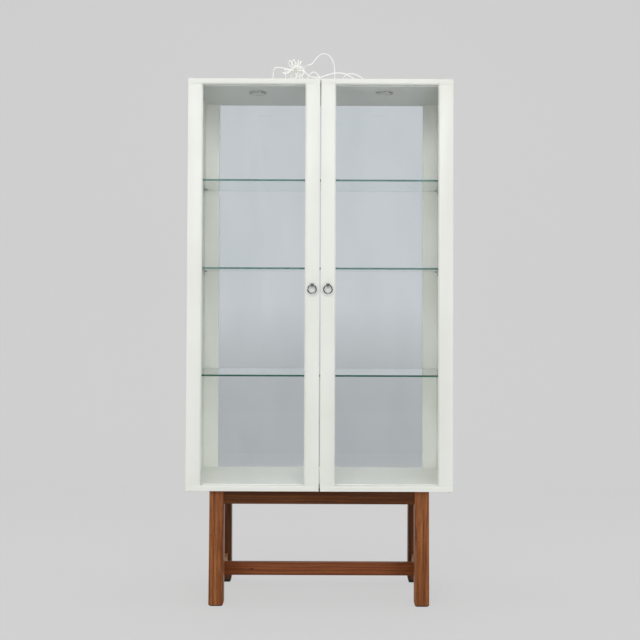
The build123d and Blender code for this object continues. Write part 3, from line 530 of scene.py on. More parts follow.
def dressed(node: str, finish: Finish, body: Body, bevel_mm: float = 0.0,
            smooth_degrees: float = 20.0) -> Piece:
    """A merged copy of a CAD node with broken edges and smooth rounds, in the node's place.

    The copy drops the normals stored with the solid, as they no longer fit the merged faces.

    Args:
        node: the CAD node.
        finish: its finish.
        body: the body that carries it.
        bevel_mm: the width of its broken edges, or 0 for none.
        smooth_degrees: edges flatter than this are shaded smooth.

    Returns:
        The piece that stands for the node.
    """
    mesh = bpy.data.meshes.new(f"{node}_dressed")
    work = bmesh.new()
    work.from_mesh(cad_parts[node].data)
    bmesh.ops.remove_doubles(work, verts=work.verts, dist=0.002 * MM)
    bmesh.ops.dissolve_degenerate(work, edges=work.edges, dist=0.001 * MM)
    if bevel_mm:
        bmesh.ops.dissolve_limit(work, angle_limit=math.radians(0.4), verts=work.verts, edges=work.edges)
    work.to_mesh(mesh)
    work.free()
    if "custom_normal" in mesh.attributes:
        mesh.attributes.remove(mesh.attributes["custom_normal"])
    piece = new_piece(mesh.name, mesh, finish)
    if bevel_mm:
        bevel = piece.modifiers.new("Broken_edges", "BEVEL")
        bevel.width = bevel_mm * MM
        bevel.segments = 2
        bevel.limit_method = "ANGLE"
        bevel.angle_limit = math.radians(40)
        plain_mesh(piece)
    smooth_by_angle(piece.data, smooth_degrees)
    return settle(piece, body, [node])


def second_finish(piece: Piece, finish: Finish, takes: Callable[[bpy.types.MeshPolygon], bool]) -> None:
    """Give a second finish to the faces of a piece that pass a test."""
    piece.data.materials.append(finish.material())
    for face in piece.data.polygons:
        if takes(face):
            face.material_index = 1


def coat(finish: Finish, *nodes: str) -> None:
    """Give a finish to CAD nodes whose shape stays as it is."""
    for node in nodes:
        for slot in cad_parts[node].material_slots:
            slot.material = finish.material()
        LOG.info("%s keeps its solid with %s", node, finish.name)


def skinned(work: Work, rows: Sequence[Sequence[bmesh.types.BMVert]]) -> None:
    """Join each closed row of points to the next by faces, where a row of one point is a tip."""
    for low, high in zip(rows, rows[1:]):
        for step in range(max(len(low), len(high))):
            corners = ((low, step), (low, step + 1), (high, step + 1), (high, step))
            work.faces.new(list(dict.fromkeys(row[at % len(row)] for row, at in corners)))


def revolved(work: Work, profile: Sequence[Pair], centre: Vector, axis: Vector, steps: int) -> None:
    """Add a closed turned shape to a mesh.

    Args:
        work: the mesh that takes it.
        profile: radius and height pairs in millimetres, from the axis round to the axis or closed on itself.
        centre: the point of height 0 on the axis, in metres.
        axis: the direction of rising height.
        steps: segments round the axis.
    """
    axis = axis.normalized()
    side = axis.orthogonal().normalized()
    other = axis.cross(side)
    angles = [2 * math.pi * step / steps for step in range(steps)]
    outs = [side * math.cos(angle) + other * math.sin(angle) for angle in angles]
    rows = [[work.verts.new(centre + out * radius * MM + axis * height * MM)
             for out in (outs if radius else outs[:1])] for radius, height in profile]
    closed = profile[0][0] and profile[-1][0]
    skinned(work, rows + rows[:1] if closed else rows)


def rounded_corner(radius: float, height: float, turn: float, start: float, steps: int = 5) -> list[Pair]:
    """Points of a quarter round for a turned profile.

    Args:
        radius: the radius of the round's centre from the axis, in millimetres.
        height: the height of the round's centre.
        turn: the radius of the round itself.
        start: the angle of its first point in degrees; it runs on by 90 degrees.
        steps: the number of steps.

    Returns:
        Radius and height pairs.
    """
    angles = [math.radians(start + 90.0 * index / steps) for index in range(steps + 1)]
    return [(radius + turn * math.cos(angle), height + turn * math.sin(angle)) for angle in angles]


def mesh_from(name: str, fill: Fill, smooth_degrees: float = 35.0) -> Mesh:
    """A mesh that a function fills, with its normals outward.

    Args:
        name: the mesh's name.
        fill: a function that adds faces to an empty mesh.
        smooth_degrees: edges flatter than this are shaded smooth.

    Returns:
        The new mesh.
    """
    mesh = bpy.data.meshes.new(name)
    work = bmesh.new()
    fill(work)
    bmesh.ops.remove_doubles(work, verts=work.verts, dist=0.0005 * MM)
    bmesh.ops.recalc_face_normals(work, faces=work.faces)
    work.to_mesh(mesh)
    work.free()
    smooth_by_angle(mesh, smooth_degrees)
    return mesh


def modelled(name: str, fill: Fill, finish: Finish, body: Body, nodes: Iterable[str] = (),
             smooth_degrees: float = 35.0) -> Piece:
    """A piece that a function models.

    Args:
        name: the piece's name.
        fill: a function that adds its faces to an empty mesh.
        finish: its finish.
        body: the body that carries it.
        nodes: the CAD nodes that it replaces.
        smooth_degrees: edges flatter than this are shaded smooth.

    Returns:
        The settled piece.
    """
    return settle(new_piece(name, mesh_from(name, fill, smooth_degrees), finish), body, nodes)


# Geometry Nodes helpers
class Group:
    """A Geometry Nodes group with named inputs, the last of which is its material."""

    def __init__(self, name: str, inputs: dict[str, str]) -> None:
        """Open the group, with the kinds of its inputs by their names."""
        self.tree = bpy.data.node_groups.new(name, "GeometryNodeTree")
        for label, kind in {**inputs, "Material": "Material"}.items():
            self.tree.interface.new_socket(label, in_out="INPUT", socket_type=f"NodeSocket{kind}")
        self.tree.interface.new_socket("Geometry", in_out="OUTPUT", socket_type="NodeSocketGeometry")
        self.add = partial(add_node, self.tree)
        self.given = self.add("NodeGroupInput").outputs

    def close(self, shape: Node) -> Tree:
        """End the group on a node's geometry: its instances become real and take the material."""
        real = self.add("GeometryNodeRealizeInstances", [shape])
        last = self.add("GeometryNodeSetMaterial", {"Geometry": real, "Material": self.given["Material"]})
        self.add("NodeGroupOutput", [last])
        return self.tree


def run_group(piece: Piece, tree: Tree, values: dict[str, Any]) -> None:
    """Run a group on a piece with inputs by name, and keep the result as its plain mesh."""
    modifier = piece.modifiers.new(tree.name, "NODES")
    modifier.node_group = tree
    sockets = {item.name: item.identifier for item in tree.interface.items_tree
               if item.item_type == "SOCKET" and item.in_out == "INPUT"}
    for name, value in values.items():
        modifier[sockets[name]] = value
    plain_mesh(piece)


# Sub-assemblies
@dataclass
class Case:
    """The white case: side, top and bottom panels, back stiles, back pane and their small fittings."""

    board_edge_mm: float = 0.5
    stop_size_mm: Triple = (26.0, 1.4, 9.0)
    stop_lift_mm: float = 0.3
    stop_rounding_mm: Pair = (0.4, 0.5)
    pole_proud_mm: float = 0.2
    panels: tuple[str, ...] = ("side_panel_left", "side_panel_right", "top_panel", "bottom_panel",
                               "back_stile_left", "back_stile_right")

    def build(self) -> None:
        """Build and dress the case."""
        for node in self.panels:
            dressed(node, SprayedLacquer(), Body.CASE, self.board_edge_mm)
        coat(FloatGlass(), "back_glass")
        coat(ZINC, "cam_fittings")
        coat(WHITE_COAT, "pivot_hinges")
        coat(WHITE_PLASTIC, "hole_caps")
        coat(CLEAR_RUBBER, "door_buffers")
        catches = dressed("magnet_catches", WHITE_PLASTIC, Body.CASE, 0.0, 30.0)
        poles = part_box("side_panel_left")[0].y - self.pole_proud_mm * MM
        second_finish(catches, ZINC, lambda face: face.center.y < poles)
        # A black strip put behind the gap between the doors as painted shade.
        modelled("centre_stop_strip", self.centre_stop, BLACK_RUBBER, Body.CASE)

    def centre_stop(self, work: Work) -> None:
        """A black strip behind the gap between the doors, low on the bottom panel's front edge: a dark piece
        that stands for the shade in the gap, painted shade.
        """
        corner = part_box("bottom_panel")[0]
        wide, deep, tall = (value * MM for value in self.stop_size_mm)
        back, side = (value * MM for value in self.stop_rounding_mm)
        foot = corner.z + self.stop_lift_mm * MM
        section = [(0.0, 0.0), (back - deep, 0.0), (-deep, side), (-deep, tall - side),
                   (back - deep, tall), (0.0, tall)]
        ends = [[work.verts.new((x, corner.y + y, foot + z)) for y, z in section]
                for x in (-wide / 2, wide / 2)]
        skinned(work, ends)
        for end in ends:
            work.faces.new(end)


@dataclass
class Shelves:
    """Three glass shelves, each on four metal supports."""

    plate_height_mm: float = 15.0
    plate_width_mm: float = 12.0
    plate_thickness_mm: float = 2.0
    ledge_reach_mm: float = 12.0
    ledge_thickness_mm: float = 2.4
    fillet_mm: float = 3.0
    edge_mm: float = 0.35
    pin_radius_mm: float = 2.5
    pin_length_mm: float = 9.0
    pin_drop_mm: float = 8.0
    upright: float = 0.3
    names: tuple[str, ...] = ("shelf_lower", "shelf_middle", "shelf_upper")

    def build(self) -> None:
        """Build the panes, whose upright faces are ground, and their supports."""
        pane = FloatGlass(name="Float_glass_shelf_polished", colour="#F8FCFB", film="#EFF7F5")
        # The middle and upper shelves get a paler copy of the same ground edge: painted light on their edges.
        pale = GroundGlassEdge(name="Float_glass_edge_ground_pale", colour="#5C8885", film="#48706D")
        for name, edge in zip(self.names, (GroundGlassEdge(), pale, pale)):
            piece = dressed(name, pane, Body.CASE)
            second_finish(piece, edge, lambda face: abs(face.normal.z) < self.upright)
        self.supports()

    def support(self, work: Work) -> None:
        """One right-hand support: pin to +X, plate at X 0, ledge to -X, pane at Z 0."""
        half, plate = self.plate_width_mm / 2, -self.plate_thickness_mm
        reach, thick, tall = -self.ledge_reach_mm, -self.ledge_thickness_mm, -self.plate_height_mm
        fillet = self.fillet_mm
        outline = [(0.0, 0.0), (reach + 0.6, 0.0), (reach, -0.6), (reach, thick + 0.6), (reach + 0.6, thick)]
        outline += [(plate - fillet + fillet * math.sin(a), thick - fillet + fillet * math.cos(a))
                    for a in (math.radians(15 * step) for step in range(7))]
        outline += [(plate, tall + 0.5), (plate + 0.5, tall), (0.0, tall)]
        edge = self.edge_mm
        rows = [[work.verts.new(Vector((x + (inset if x < plate else 0.0), y,
                                        z - (inset if z == 0.0 else 0.0))) * MM) for x, z in outline]
                for y, inset in ((-half, edge), (-half + edge, 0.0), (half - edge, 0.0), (half, edge))]
        skinned(work, rows)
        work.faces.new(rows[0])
        work.faces.new(rows[-1])
        radius, length = self.pin_radius_mm, self.pin_length_mm
        pin = [(0.0, -0.2), (radius, -0.2), (radius, length - 0.5), (radius - 0.5, length), (0.0, length)]
        revolved(work, pin, Vector((0, 0, -self.pin_drop_mm * MM)), Vector((1, 0, 0)), 20)

    def grid_tree(self) -> Tree:
        """Geometry Nodes that set a piece at two sides, two depths and three heights.

        Returns:
            The node group, with its places as named inputs.
        """
        places = ("Half Width", "Front", "Back", "Low", "Middle", "High")
        group = Group("Support_grid", {"Piece": "Object", **dict.fromkeys(places, "Float")})
        add, given = group.add, group.given
        index = add("GeometryNodeInputIndex")
        right = add("Math", [index, 2.0], "MODULO")
        pair = add("Math", [index, 2.0], "DIVIDE")
        row = add("Math", [pair], "FLOOR")
        back = add("Math", [row, 2.0], "MODULO")
        rise = add("Math", [row, 2.0], "DIVIDE")
        level = add("Math", [rise], "FLOOR")
        sign = add("Math", [right, 2.0, -1.0], "MULTIPLY_ADD")
        x = add("Math", [sign, given["Half Width"]], "MULTIPLY")
        y = add("Mix", {0: back, 2: given["Front"], 3: given["Back"]})
        high = add("Math", [level, 1.5], "GREATER_THAN")
        lower = add("Mix", {0: level, 2: given["Low"], 3: given["Middle"]})
        z = add("Mix", {0: high, 2: lower, 3: given["High"]})
        spot = add("CombineXYZ", [x, y, z])
        half_turn = add("Math", [right, -math.pi, math.pi], "MULTIPLY_ADD")
        turn = add("CombineXYZ", {2: half_turn})
        points = add("GeometryNodePoints", {"Count": 4 * len(self.names), "Position": spot})
        piece = add("GeometryNodeObjectInfo", {"Object": given["Piece"]}).outputs["Geometry"]
        return group.close(add("GeometryNodeInstanceOnPoints",
                               {"Points": points, "Instance": piece, "Rotation": turn}))

    def supports(self) -> None:
        """Twelve supports, set out by Geometry Nodes from the places of the CAD node and the panes."""
        pattern = bpy.data.objects.new("support_pattern", mesh_from("support_pattern", self.support))
        low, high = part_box("shelf_supports")
        lower, middle, upper = (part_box(name)[0].z for name in self.names)
        half = self.plate_width_mm / 2 * MM
        piece = new_piece("shelf_supports_cast", None)
        run_group(piece, self.grid_tree(), {
            "Piece": pattern, "Half Width": high.x - self.pin_length_mm * MM, "Front": low.y + half,
            "Back": high.y - half, "Low": lower, "Middle": middle, "High": upper,
            "Material": ZINC.material()})
        bpy.data.objects.remove(pattern)
        smooth_by_angle(piece.data, 35.0)
        settle(piece, Body.CASE, ["shelf_supports"])


@dataclass
class Spotlights:
    """Two recessed spotlights, each with a bezel, a ringed lens and a cable cover on the top panel."""

    bezel_radius_mm: float = 30.0
    bezel_drop_mm: float = 5.0
    bore_radius_mm: float = 27.0
    lens_radius_mm: float = 22.0
    seat_width_mm: float = 2.0
    ridge_mm: float = 1.6
    cover_radius_mm: float = 31.0
    cover_height_mm: float = 7.0
    cover_rounding_mm: float = 4.5
    nozzle_radius_mm: float = 3.2
    nozzle_reach_mm: float = 36.0
    nozzle_root_mm: float = 6.0

    def places(self, height: float) -> dict[Side, Vector]:
        """The two lights' axes at a height in metres."""
        low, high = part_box("spotlight_bezels")
        half = (high.y - low.y) / 2
        middles = {Side.LEFT: low.x + half, Side.RIGHT: high.x - half}
        return {side: Vector((x, low.y + half, height)) for side, x in middles.items()}

    def build(self) -> None:
        """Build both lights."""
        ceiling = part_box("top_panel")[0].z
        places = self.places(ceiling).values()
        lens, neck, drop = self.lens_radius_mm, self.lens_radius_mm + self.seat_width_mm, -self.bezel_drop_mm
        bezel = [(self.bezel_radius_mm, 0.0)]
        bezel += reversed(rounded_corner(self.bezel_radius_mm - 2, drop + 2, 2.0, 270.0))
        bezel += [(neck + 0.4, drop), (neck, drop + 0.2), (lens, drop + 2.2), (lens, -2.0), (neck, -2.0),
                  (neck, 4.0), (self.bore_radius_mm, 4.0), (self.bore_radius_mm, 0.0)]
        ridges = 2 * int(lens / self.ridge_mm)
        glass = [(0.0, -1.5)]
        glass += [(ring * self.ridge_mm / 2, -2.0 if ring % 2 else -1.65) for ring in range(1, ridges + 1)]
        glass += [(neck - 0.3, -2.0), (neck, -1.7), (neck, 0.0), (0.0, 0.0)]

        def turned(profile: Sequence[Pair], steps: int) -> Fill:
            """A function that adds a turned profile to a mesh at both lights."""
            return lambda work: [revolved(work, profile, place, UP, steps) for place in places]

        piece = modelled("spotlight_bezels_turned", turned(bezel, 96), NICKEL, Body.CASE,
                         ["spotlight_bezels"])
        second_finish(piece, WHITE_COAT, lambda face: face.center.z < ceiling
                      and min((face.center.xy - place.xy).length for place in places) < (neck + 0.1) * MM)
        modelled("spotlight_lenses_moulded", turned(glass, 72), FrostedLens(ring_mm=self.ridge_mm),
                 Body.CASE, ["spotlight_lenses"], 12.0)
        modelled("cable_covers_moulded", self.covers, WHITE_PLASTIC, Body.CASE,
                 ["cable_covers"])
        coat(ALUMINIUM, "spotlight_housings")

    def covers(self, work: Work) -> None:
        """The two low caps on the top panel, each with a tapered and ribbed nozzle for its lead."""
        radius, height, turn = self.cover_radius_mm, self.cover_height_mm, self.cover_rounding_mm
        cap = [(0.0, 0.0), (radius - 0.3, 0.0), (radius, 0.3)]
        cap += rounded_corner(radius - turn, height - turn, turn, 0.0, 6)
        cap += [(radius - 9.0, height), (radius - 9.6, height - 0.5), (radius - 10.2, height), (0.0, height)]
        tip = self.nozzle_radius_mm
        nozzle = [(0.0, 0.0), (tip, 0.0), (tip, 12.0)]
        nozzle += [(tip - 0.15 * step - 0.35 * (step % 2), 12.0 + 1.6 * step) for step in range(9)]
        root = radius - self.nozzle_root_mm
        reach = self.nozzle_reach_mm - root
        scale = reach / nozzle[-1][1]
        nozzle = [(r, h * scale) for r, h in nozzle] + [(0.0, reach)]
        for side, place in self.places(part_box("top_panel")[1].z).items():
            revolved(work, cap, place, UP, 72)
            revolved(work, nozzle, place + Vector((-side.value * root, 0, tip)) * MM,
                     Vector((-side.value, 0, 0)), 24)


@dataclass
class Door:
    """One framed glass door with its ring pull."""

    side: Side
    edges_mm: tuple[float, ...] = (0.45, 0.8, 0.15, 0.8, 0.3)
    members: tuple[str, ...] = ("rail_top", "rail_bottom", "stile_inner", "stile_outer", "glazing_strips")

    def node(self, part: str) -> str:
        """The CAD node of a part of this door."""
        return f"door_{self.side.word}_{part}"

    def build(self) -> None:
        """Build and dress the door."""
        body = self.side.door
        for member, edge in zip(self.members, self.edges_mm):
            dressed(self.node(member), SprayedLacquer(), body, edge)
        coat(FloatGlass(), self.node("glass"))
        coat(BLACK_PLASTIC, self.node("bushes"))
        dressed(self.node("strike_plate"), ZINC, body, 0.15, 30.0)
        dressed(self.node("pull_post"), CHROME, body, 0.0, 38.0)
        modelled(self.node("pull_ring_bright"), self.ring, CHROME, self.side.ring,
                 [self.node("pull_ring")], 60.0)

    def ring(self, work: Work) -> None:
        """The ring that hangs in the eye: round wire about the Y axis."""
        low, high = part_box(self.node("pull_ring"))
        wire = (high.y - low.y) / 2
        radius = (high.z - low.z) / 2 - wire
        angles = [math.radians(15 * step) for step in range(24)]
        section = [((radius + wire * math.cos(a)) / MM, wire * math.sin(a) / MM) for a in angles]
        revolved(work, section, (low + high) / 2, Vector((0, 1, 0)), 120)


@dataclass
class Stand:
    """The wooden stand: splayed legs, aprons, side rails, stretcher, feet and bolts.

    The aprons and the rear legs take a darker stain than the front legs, painted shade under the case, and
    the lower side rails a paler one, painted light on their tops.
    """

    edge_mm: float = 0.8
    knot_place_mm: Triple = (-238.0, -11.0, 84.0)
    # Darker stain colours that carry painted shade on the aprons and the rear legs.
    deep: tuple[str, ...] = ("#3C1E0C", "#5A3115", "#6C3E1D", "#281307")
    warm: tuple[str, ...] = ("#623118", "#844826", "#985A32")
    # Paler stain colours that carry painted light on the lit tops of the lower side rails.
    worn: tuple[str, ...] = ("#8A5A36", "#A97A50", "#BE9268", "#6E4426")

    def member(self, node: str, grain: Grain, offset: Triple, stain: Sequence[str] = (),
               knot: Triple | None = None) -> None:
        """Dress one member, with the grain along it.

        Args:
            node: its CAD node.
            grain: the direction of its grain.
            offset: where its pattern lies, in metres.
            stain: its dark, middle, light and line colours, or none for the common stain.
            knot: the place of a knot in metres.
        """
        name = f"Beech_planed_stained_{node.removeprefix('side_')}"
        wood = StainedBeech(name, grain, offset, *stain, knot=knot)
        dressed(node, wood, Body.CASE, self.edge_mm)

    def build(self) -> None:
        """Build and dress each member."""
        lie = 0
        # The rear legs take the darker stain, painted shade.
        for depth, stain in (("front", ()), ("rear", self.deep)):
            for side in Side:
                lie += 1
                self.member(f"leg_{depth}_{side.word}", Grain.ALONG_Z,
                            (0.31 * lie, 0.17 * lie, 0.4 * lie), stain)
        # The aprons take the darker stain, painted shade.
        for index, node in enumerate(("apron_front", "apron_rear")):
            self.member(node, Grain.ALONG_X, (0.13 * index, 0.7, 0.25 * index), self.deep)
        self.member("stretcher", Grain.ALONG_X, (0.5, 0.2, 0.1), self.warm,
                    tuple(value * MM for value in self.knot_place_mm))
        # The lower side rails take the paler stain, painted light on their tops.
        for index, (level, stain) in enumerate((("lower", self.worn), ("upper", ()))):
            for side in Side:
                self.member(f"side_rail_{level}_{side.word}", Grain.ALONG_Y,
                            (0.37 * side.value, 0.4 + 0.2 * index, 0.1), stain)
        dressed("feet", BLACK_PLASTIC, Body.CASE, 0.3, 30.0)
        coat(ZINC, "stand_bolts")


@dataclass
class Leads:
    """The leads on the top panel: two lamp leads, junction box, supply lead with its tied hank, plug.

    Points are x, depth behind the doors' face and height above the top panel, in millimetres.
    """

    lamp_radius_mm: float = 1.6
    supply_radius_mm: float = 1.9
    lamp_lengths_m: Pair = (0.466, 0.539)
    supply_length_m: float = 1.565
    hank_centre: Triple = (-94.0, 108.0, 46.0)
    hank_axis_turn: float = -45.0
    hank_loops: int = 10
    hank_start_angle: float = 200.0
    hank_end_angle: float = -112.0
    hank_waist_radius: float = 8.6
    hank_radii: tuple[float, ...] = (20.5, 17.2, 16.4, 15.5, 15.7, 19.7, 15.2, 16.0, 17.6, 17.0, 16.3)
    hank_leans: tuple[float, ...] = (2.0, -2.5, 2.0, -2.0, 5.0, -5.0, 2.0, 3.5, -4.0, 2.5, 0.0)
    hank_twists: tuple[float, ...] = (0.0, 3.5, 4.0, 3.5, 5.5, 5.0, 3.5, 4.0, 4.0, 5.0, 0.0)
    hank_bunches: tuple[float, ...] = (0.0, 10.0, -11.0, -10.0, -6.0, 6.0, 11.0, 8.0, 0.0, 0.0, 0.0)
    hank_end_runs: Triple = (7.0, 14.0, 22.0)
    points_per_turn: int = 16
    tie_mm: Triple = (11.1, 12.3, 2.5)
    plug_face_mm: float = 35.05
    relief_lengths_mm: Pair = (9.0, 11.0)
    left_lead: tuple[Triple, ...] = (
        (-187, 140, 3.2), (-179, 140, 3.2), (-171, 137, 9), (-169, 132, 27), (-168, 128, 46), (-165, 125, 59),
        (-155, 123, 62), (-144, 124, 62), (-130, 128, 60), (-126, 137, 49), (-126, 151, 36), (-125, 165, 20),
        (-117, 176, 7), (-100, 178, 1.9), (-78, 168, 1.8), (-60, 150, 3), (-51, 128, 12), (-44, 109, 26),
        (-36, 98, 37), (-26, 95, 41), (-15, 97, 36), (-4, 103, 22), (4, 115, 9), (9, 135, 2.2),
        (12, 158, 1.8), (11, 181, 2.4), (13, 199, 6), (14, 213, 9), (14, 224, 9))
    right_lead: tuple[Triple, ...] = (
        (187, 140, 3.2), (178, 140, 3.2), (168, 138, 6), (156, 132, 16), (143, 126, 27), (127, 121, 35),
        (110, 118, 40), (94, 118, 39), (81, 122, 31), (73, 127, 19), (71.5, 130, 9.5), (65, 132, 2.2),
        (54.5, 132, 2.2), (48.5, 130, 9.5), (47.5, 126, 20), (47.5, 121, 37), (47, 116, 56), (44, 113, 75),
        (36, 111, 93), (23, 110, 105), (8, 110, 108), (-6, 110, 103), (-18, 110, 90), (-28, 110, 76),
        (-36, 112, 69), (-46, 119, 70), (-56, 130, 69), (-62, 146, 61), (-66, 160, 45), (-66, 176, 22),
        (-60, 189, 7), (-52, 195, 2.4), (-36, 197, 1.8), (-22, 198, 3), (-11, 203, 6.5), (-6, 213.5, 9),
        (-6, 224, 9))
    supply_lead: tuple[Triple, ...] = (
        (42, 236, 9), (55, 236, 9), (70, 231, 7.5), (90, 218, 4.5), (110, 200, 2.4), (127, 178, 2.1),
        (138, 155, 2.1), (141, 134, 2.2), (136, 118, 3.2), (126, 108, 10), (112, 103, 20), (97, 101, 29),
        (80, 100.5, 36), (62, 100, 38.5), (45, 99, 37), (27, 96, 32), (10, 92, 24.5), (-4, 87, 19),
        (-21, 80, 17.5), (-36, 75, 19), (-47, 69, 25), (-56, 64, 35), (-65, 60, 46), (-75, 57, 52.5),
        (-86, 56, 51.5), (-97, 57, 44), (-107, 60.5, 35))
    door_front: float = 0.0
    top: float = 0.0
    pieces: dict[str, Piece] = field(default_factory=dict)

    def place(self, point: Sequence[float] | Vector) -> Vector:
        """The world place in metres of a point over the top panel."""
        return Vector((point[0] * MM, self.door_front + point[1] * MM, self.top + point[2] * MM))

    @property
    def hank_axis(self) -> Vector:
        """The direction of the hank's waist."""
        turn = math.radians(self.hank_axis_turn)
        return Vector((math.cos(turn), math.sin(turn), 0.0))

    def hank_point(self, turns: float) -> Vector:
        """A point of the hank after a number of turns, in the leads' own millimetres.

        The loops swell, lean, twist and bunch a little, within 10 mm of the even hank of the solid.

        Args:
            turns: how many loops the lead has made.

        Returns:
            The point on the lead's centre line.
        """
        low = min(int(turns), self.hank_loops - 1)
        blend = (1 - math.cos(math.pi * (turns - low))) / 2
        loop, lean, twist, bunch = (
            values[low] * (1 - blend) + values[low + 1] * blend
            for values in (self.hank_radii, self.hank_leans, self.hank_twists, self.hank_bunches))
        axis = self.hank_axis
        across = Vector((-axis.y, axis.x, 0.0))
        sweep = (self.hank_end_angle - self.hank_start_angle) * turns / self.hank_loops
        fan = math.radians(self.hank_start_angle + sweep + bunch)
        angle = math.pi + 2 * math.pi * turns
        outward = across * math.cos(fan) + UP * math.sin(fan)
        sideways = UP * math.cos(fan) - across * math.sin(fan)
        reach = (1 - math.cos(angle)) / 2
        out = self.hank_waist_radius + 2 * loop * reach
        along = loop * math.sin(angle) + lean * reach ** 2
        aside = twist * math.sin(angle) * math.sqrt(reach)
        return Vector(self.hank_centre) + outward * out + axis * along + sideways * aside

    def spline(self, name: str, points: Sequence[Sequence[float]], radius_mm: float,
               nodes: Sequence[str]) -> Piece:
        """A lead as a smooth curve.

        Args:
            name: the piece's name.
            points: its control points over the top panel.
            radius_mm: the lead's radius.
            nodes: the CAD nodes that it replaces.

        Returns:
            The settled curve object.
        """
        curve = bpy.data.curves.new(name, "CURVE")
        curve.dimensions = "3D"
        line = curve.splines.new("NURBS")
        line.points.add(len(points) - 1)
        for control, point in zip(line.points, points):
            control.co = (*self.place(point), 1.0)
        line.order_u = 3
        line.use_endpoint_u = True
        line.resolution_u = 6
        curve.bevel_depth = radius_mm * MM
        curve.bevel_resolution = 5
        curve.use_fill_caps = True
        return settle(new_piece(name, curve, WHITE_CABLE), Body.CASE, nodes)

    def build(self) -> None:
        """Build the pieces on the leads, then the leads."""
        self.door_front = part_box("door_left_stile_inner")[0].y
        self.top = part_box("top_panel")[1].z
        self.pieces["junction"] = dressed("junction_box", WHITE_PLASTIC, Body.CASE, 0.3,
                                          30.0)
        self.pieces["reliefs"] = self.reliefs()
        last = self.hank_point(float(self.hank_loops))
        self.pieces["plug"] = dressed("plug", WHITE_PLASTIC, Body.CASE, 0.0, 28.0)
        face = self.place(last - self.hank_axis * self.hank_end_runs[-1])
        second_finish(self.pieces["plug"], NICKEL,
                      lambda part: (part.center - face).dot(-self.hank_axis) > self.plug_face_mm * MM)
        self.pieces["tie"] = modelled("hank_tie_strap", self.tie, WHITE_TIE, Body.CASE,
                                      ["hank_tie"], 30.0)
        start = self.hank_point(0.0) + self.hank_axis * 2 * self.supply_radius_mm
        route = [*self.supply_lead, start + self.hank_axis * 10, start]
        count = self.points_per_turn * self.hank_loops
        route += [self.hank_point(index / self.points_per_turn) for index in range(count + 1)]
        route += [last - self.hank_axis * run for run in self.hank_end_runs]
        left = self.spline("lamp_lead_left_flex", self.left_lead, self.lamp_radius_mm, ["lamp_lead_left"])
        right = self.spline("lamp_lead_right_flex", self.right_lead, self.lamp_radius_mm, ["lamp_lead_right"])
        supply = self.spline("supply_lead_flex", route, self.supply_radius_mm, ["supply_lead", "supply_hank"])

    def relief_tree(self) -> Tree:
        """Geometry Nodes that make a tapered strain relief: a cone with ribs set along it.

        Returns:
            The node group, with its sizes as named inputs.
        """
        sizes = ("Length", "Root Radius", "Tip Radius", "Rib Height")
        group = Group("Ribbed_relief", {**dict.fromkeys(sizes, "Float"), "Ribs": "Int", "Place": "Vector",
                                        "Turn": "Vector"})
        add, given = group.add, group.given
        cone = add("GeometryNodeMeshCone", {
            "Vertices": 24, "Radius Top": given["Tip Radius"], "Radius Bottom": given["Root Radius"],
            "Depth": given["Length"]})
        tall = add("Math", [given["Length"], 0.82], "MULTIPLY")
        low = add("Math", [given["Length"], 0.10], "MULTIPLY")
        first = add("CombineXYZ", {2: low})
        ends = add("CombineXYZ", {2: tall})
        line = add("GeometryNodeMeshLine", {"Count": given["Ribs"], "Start Location": first,
                                            "Offset": ends}, mode="END_POINTS", count_mode="TOTAL")
        rib = add("GeometryNodeMeshCylinder", {"Vertices": 24, "Radius": 1.0, "Depth": 1.0})
        height = add("SeparateXYZ", [add("GeometryNodeInputPosition")]).outputs["Z"]
        share = add("Math", [height, given["Length"]], "DIVIDE")
        width = add("Mix", {0: share, 2: given["Root Radius"], 3: given["Tip Radius"]})
        proud = add("Math", [width, given["Rib Height"]], "ADD")
        step = add("Math", [tall, given["Ribs"]], "DIVIDE")
        thick = add("Math", [step, 0.5], "MULTIPLY")
        size = add("CombineXYZ", [proud, proud, thick])
        ribs = add("GeometryNodeInstanceOnPoints", {"Points": line, "Instance": rib, "Scale": size})
        both = add("GeometryNodeJoinGeometry")
        for shape in (cone, ribs):
            group.tree.links.new(shape.outputs[0], both.inputs[0])
        return group.close(add("GeometryNodeTransform", {"Geometry": both, "Translation": given["Place"],
                                                         "Rotation": given["Turn"]}))

    def reliefs(self) -> Piece:
        """The tapered reliefs of the three leads at the junction box, as one piece."""
        tree = self.relief_tree()
        back, right = (math.pi / 2, 0.0, 0.0), (0.0, math.pi / 2, 0.0)
        short, long = self.relief_lengths_mm
        work = bmesh.new()
        for root, turn, radius, length in ((self.left_lead[-1], back, self.lamp_radius_mm, short),
                                           (self.right_lead[-1], back, self.lamp_radius_mm, short),
                                           (self.supply_lead[0], right, self.supply_radius_mm, long)):
            part = new_piece("relief", None)
            run_group(part, tree, {"Length": length * MM, "Root Radius": (radius + 1.8) * MM,
                                   "Tip Radius": (radius + 0.35) * MM, "Rib Height": 0.35 * MM, "Ribs": 5,
                                   "Place": tuple(self.place(root)), "Turn": turn,
                                   "Material": WHITE_PLASTIC.material()})
            work.from_mesh(part.data)
            bpy.data.objects.remove(part)
        piece = new_piece("lead_reliefs_moulded", None, WHITE_PLASTIC)
        work.to_mesh(piece.data)
        work.free()
        smooth_by_angle(piece.data, 35.0)
        return settle(piece, Body.CASE)

    def tie(self, work: Work) -> None:
        """The tie round the hank's waist: a ring of flat strap with rounded edges."""
        low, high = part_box("hank_tie")
        inner, outer, half = self.tie_mm
        profile = [(inner, -half), (outer - 0.3, -half), (outer, -half + 0.3), (outer, half - 0.3),
                   (outer - 0.3, half), (inner, half)]
        revolved(work, profile, (low + high) / 2, self.hank_axis, 64)


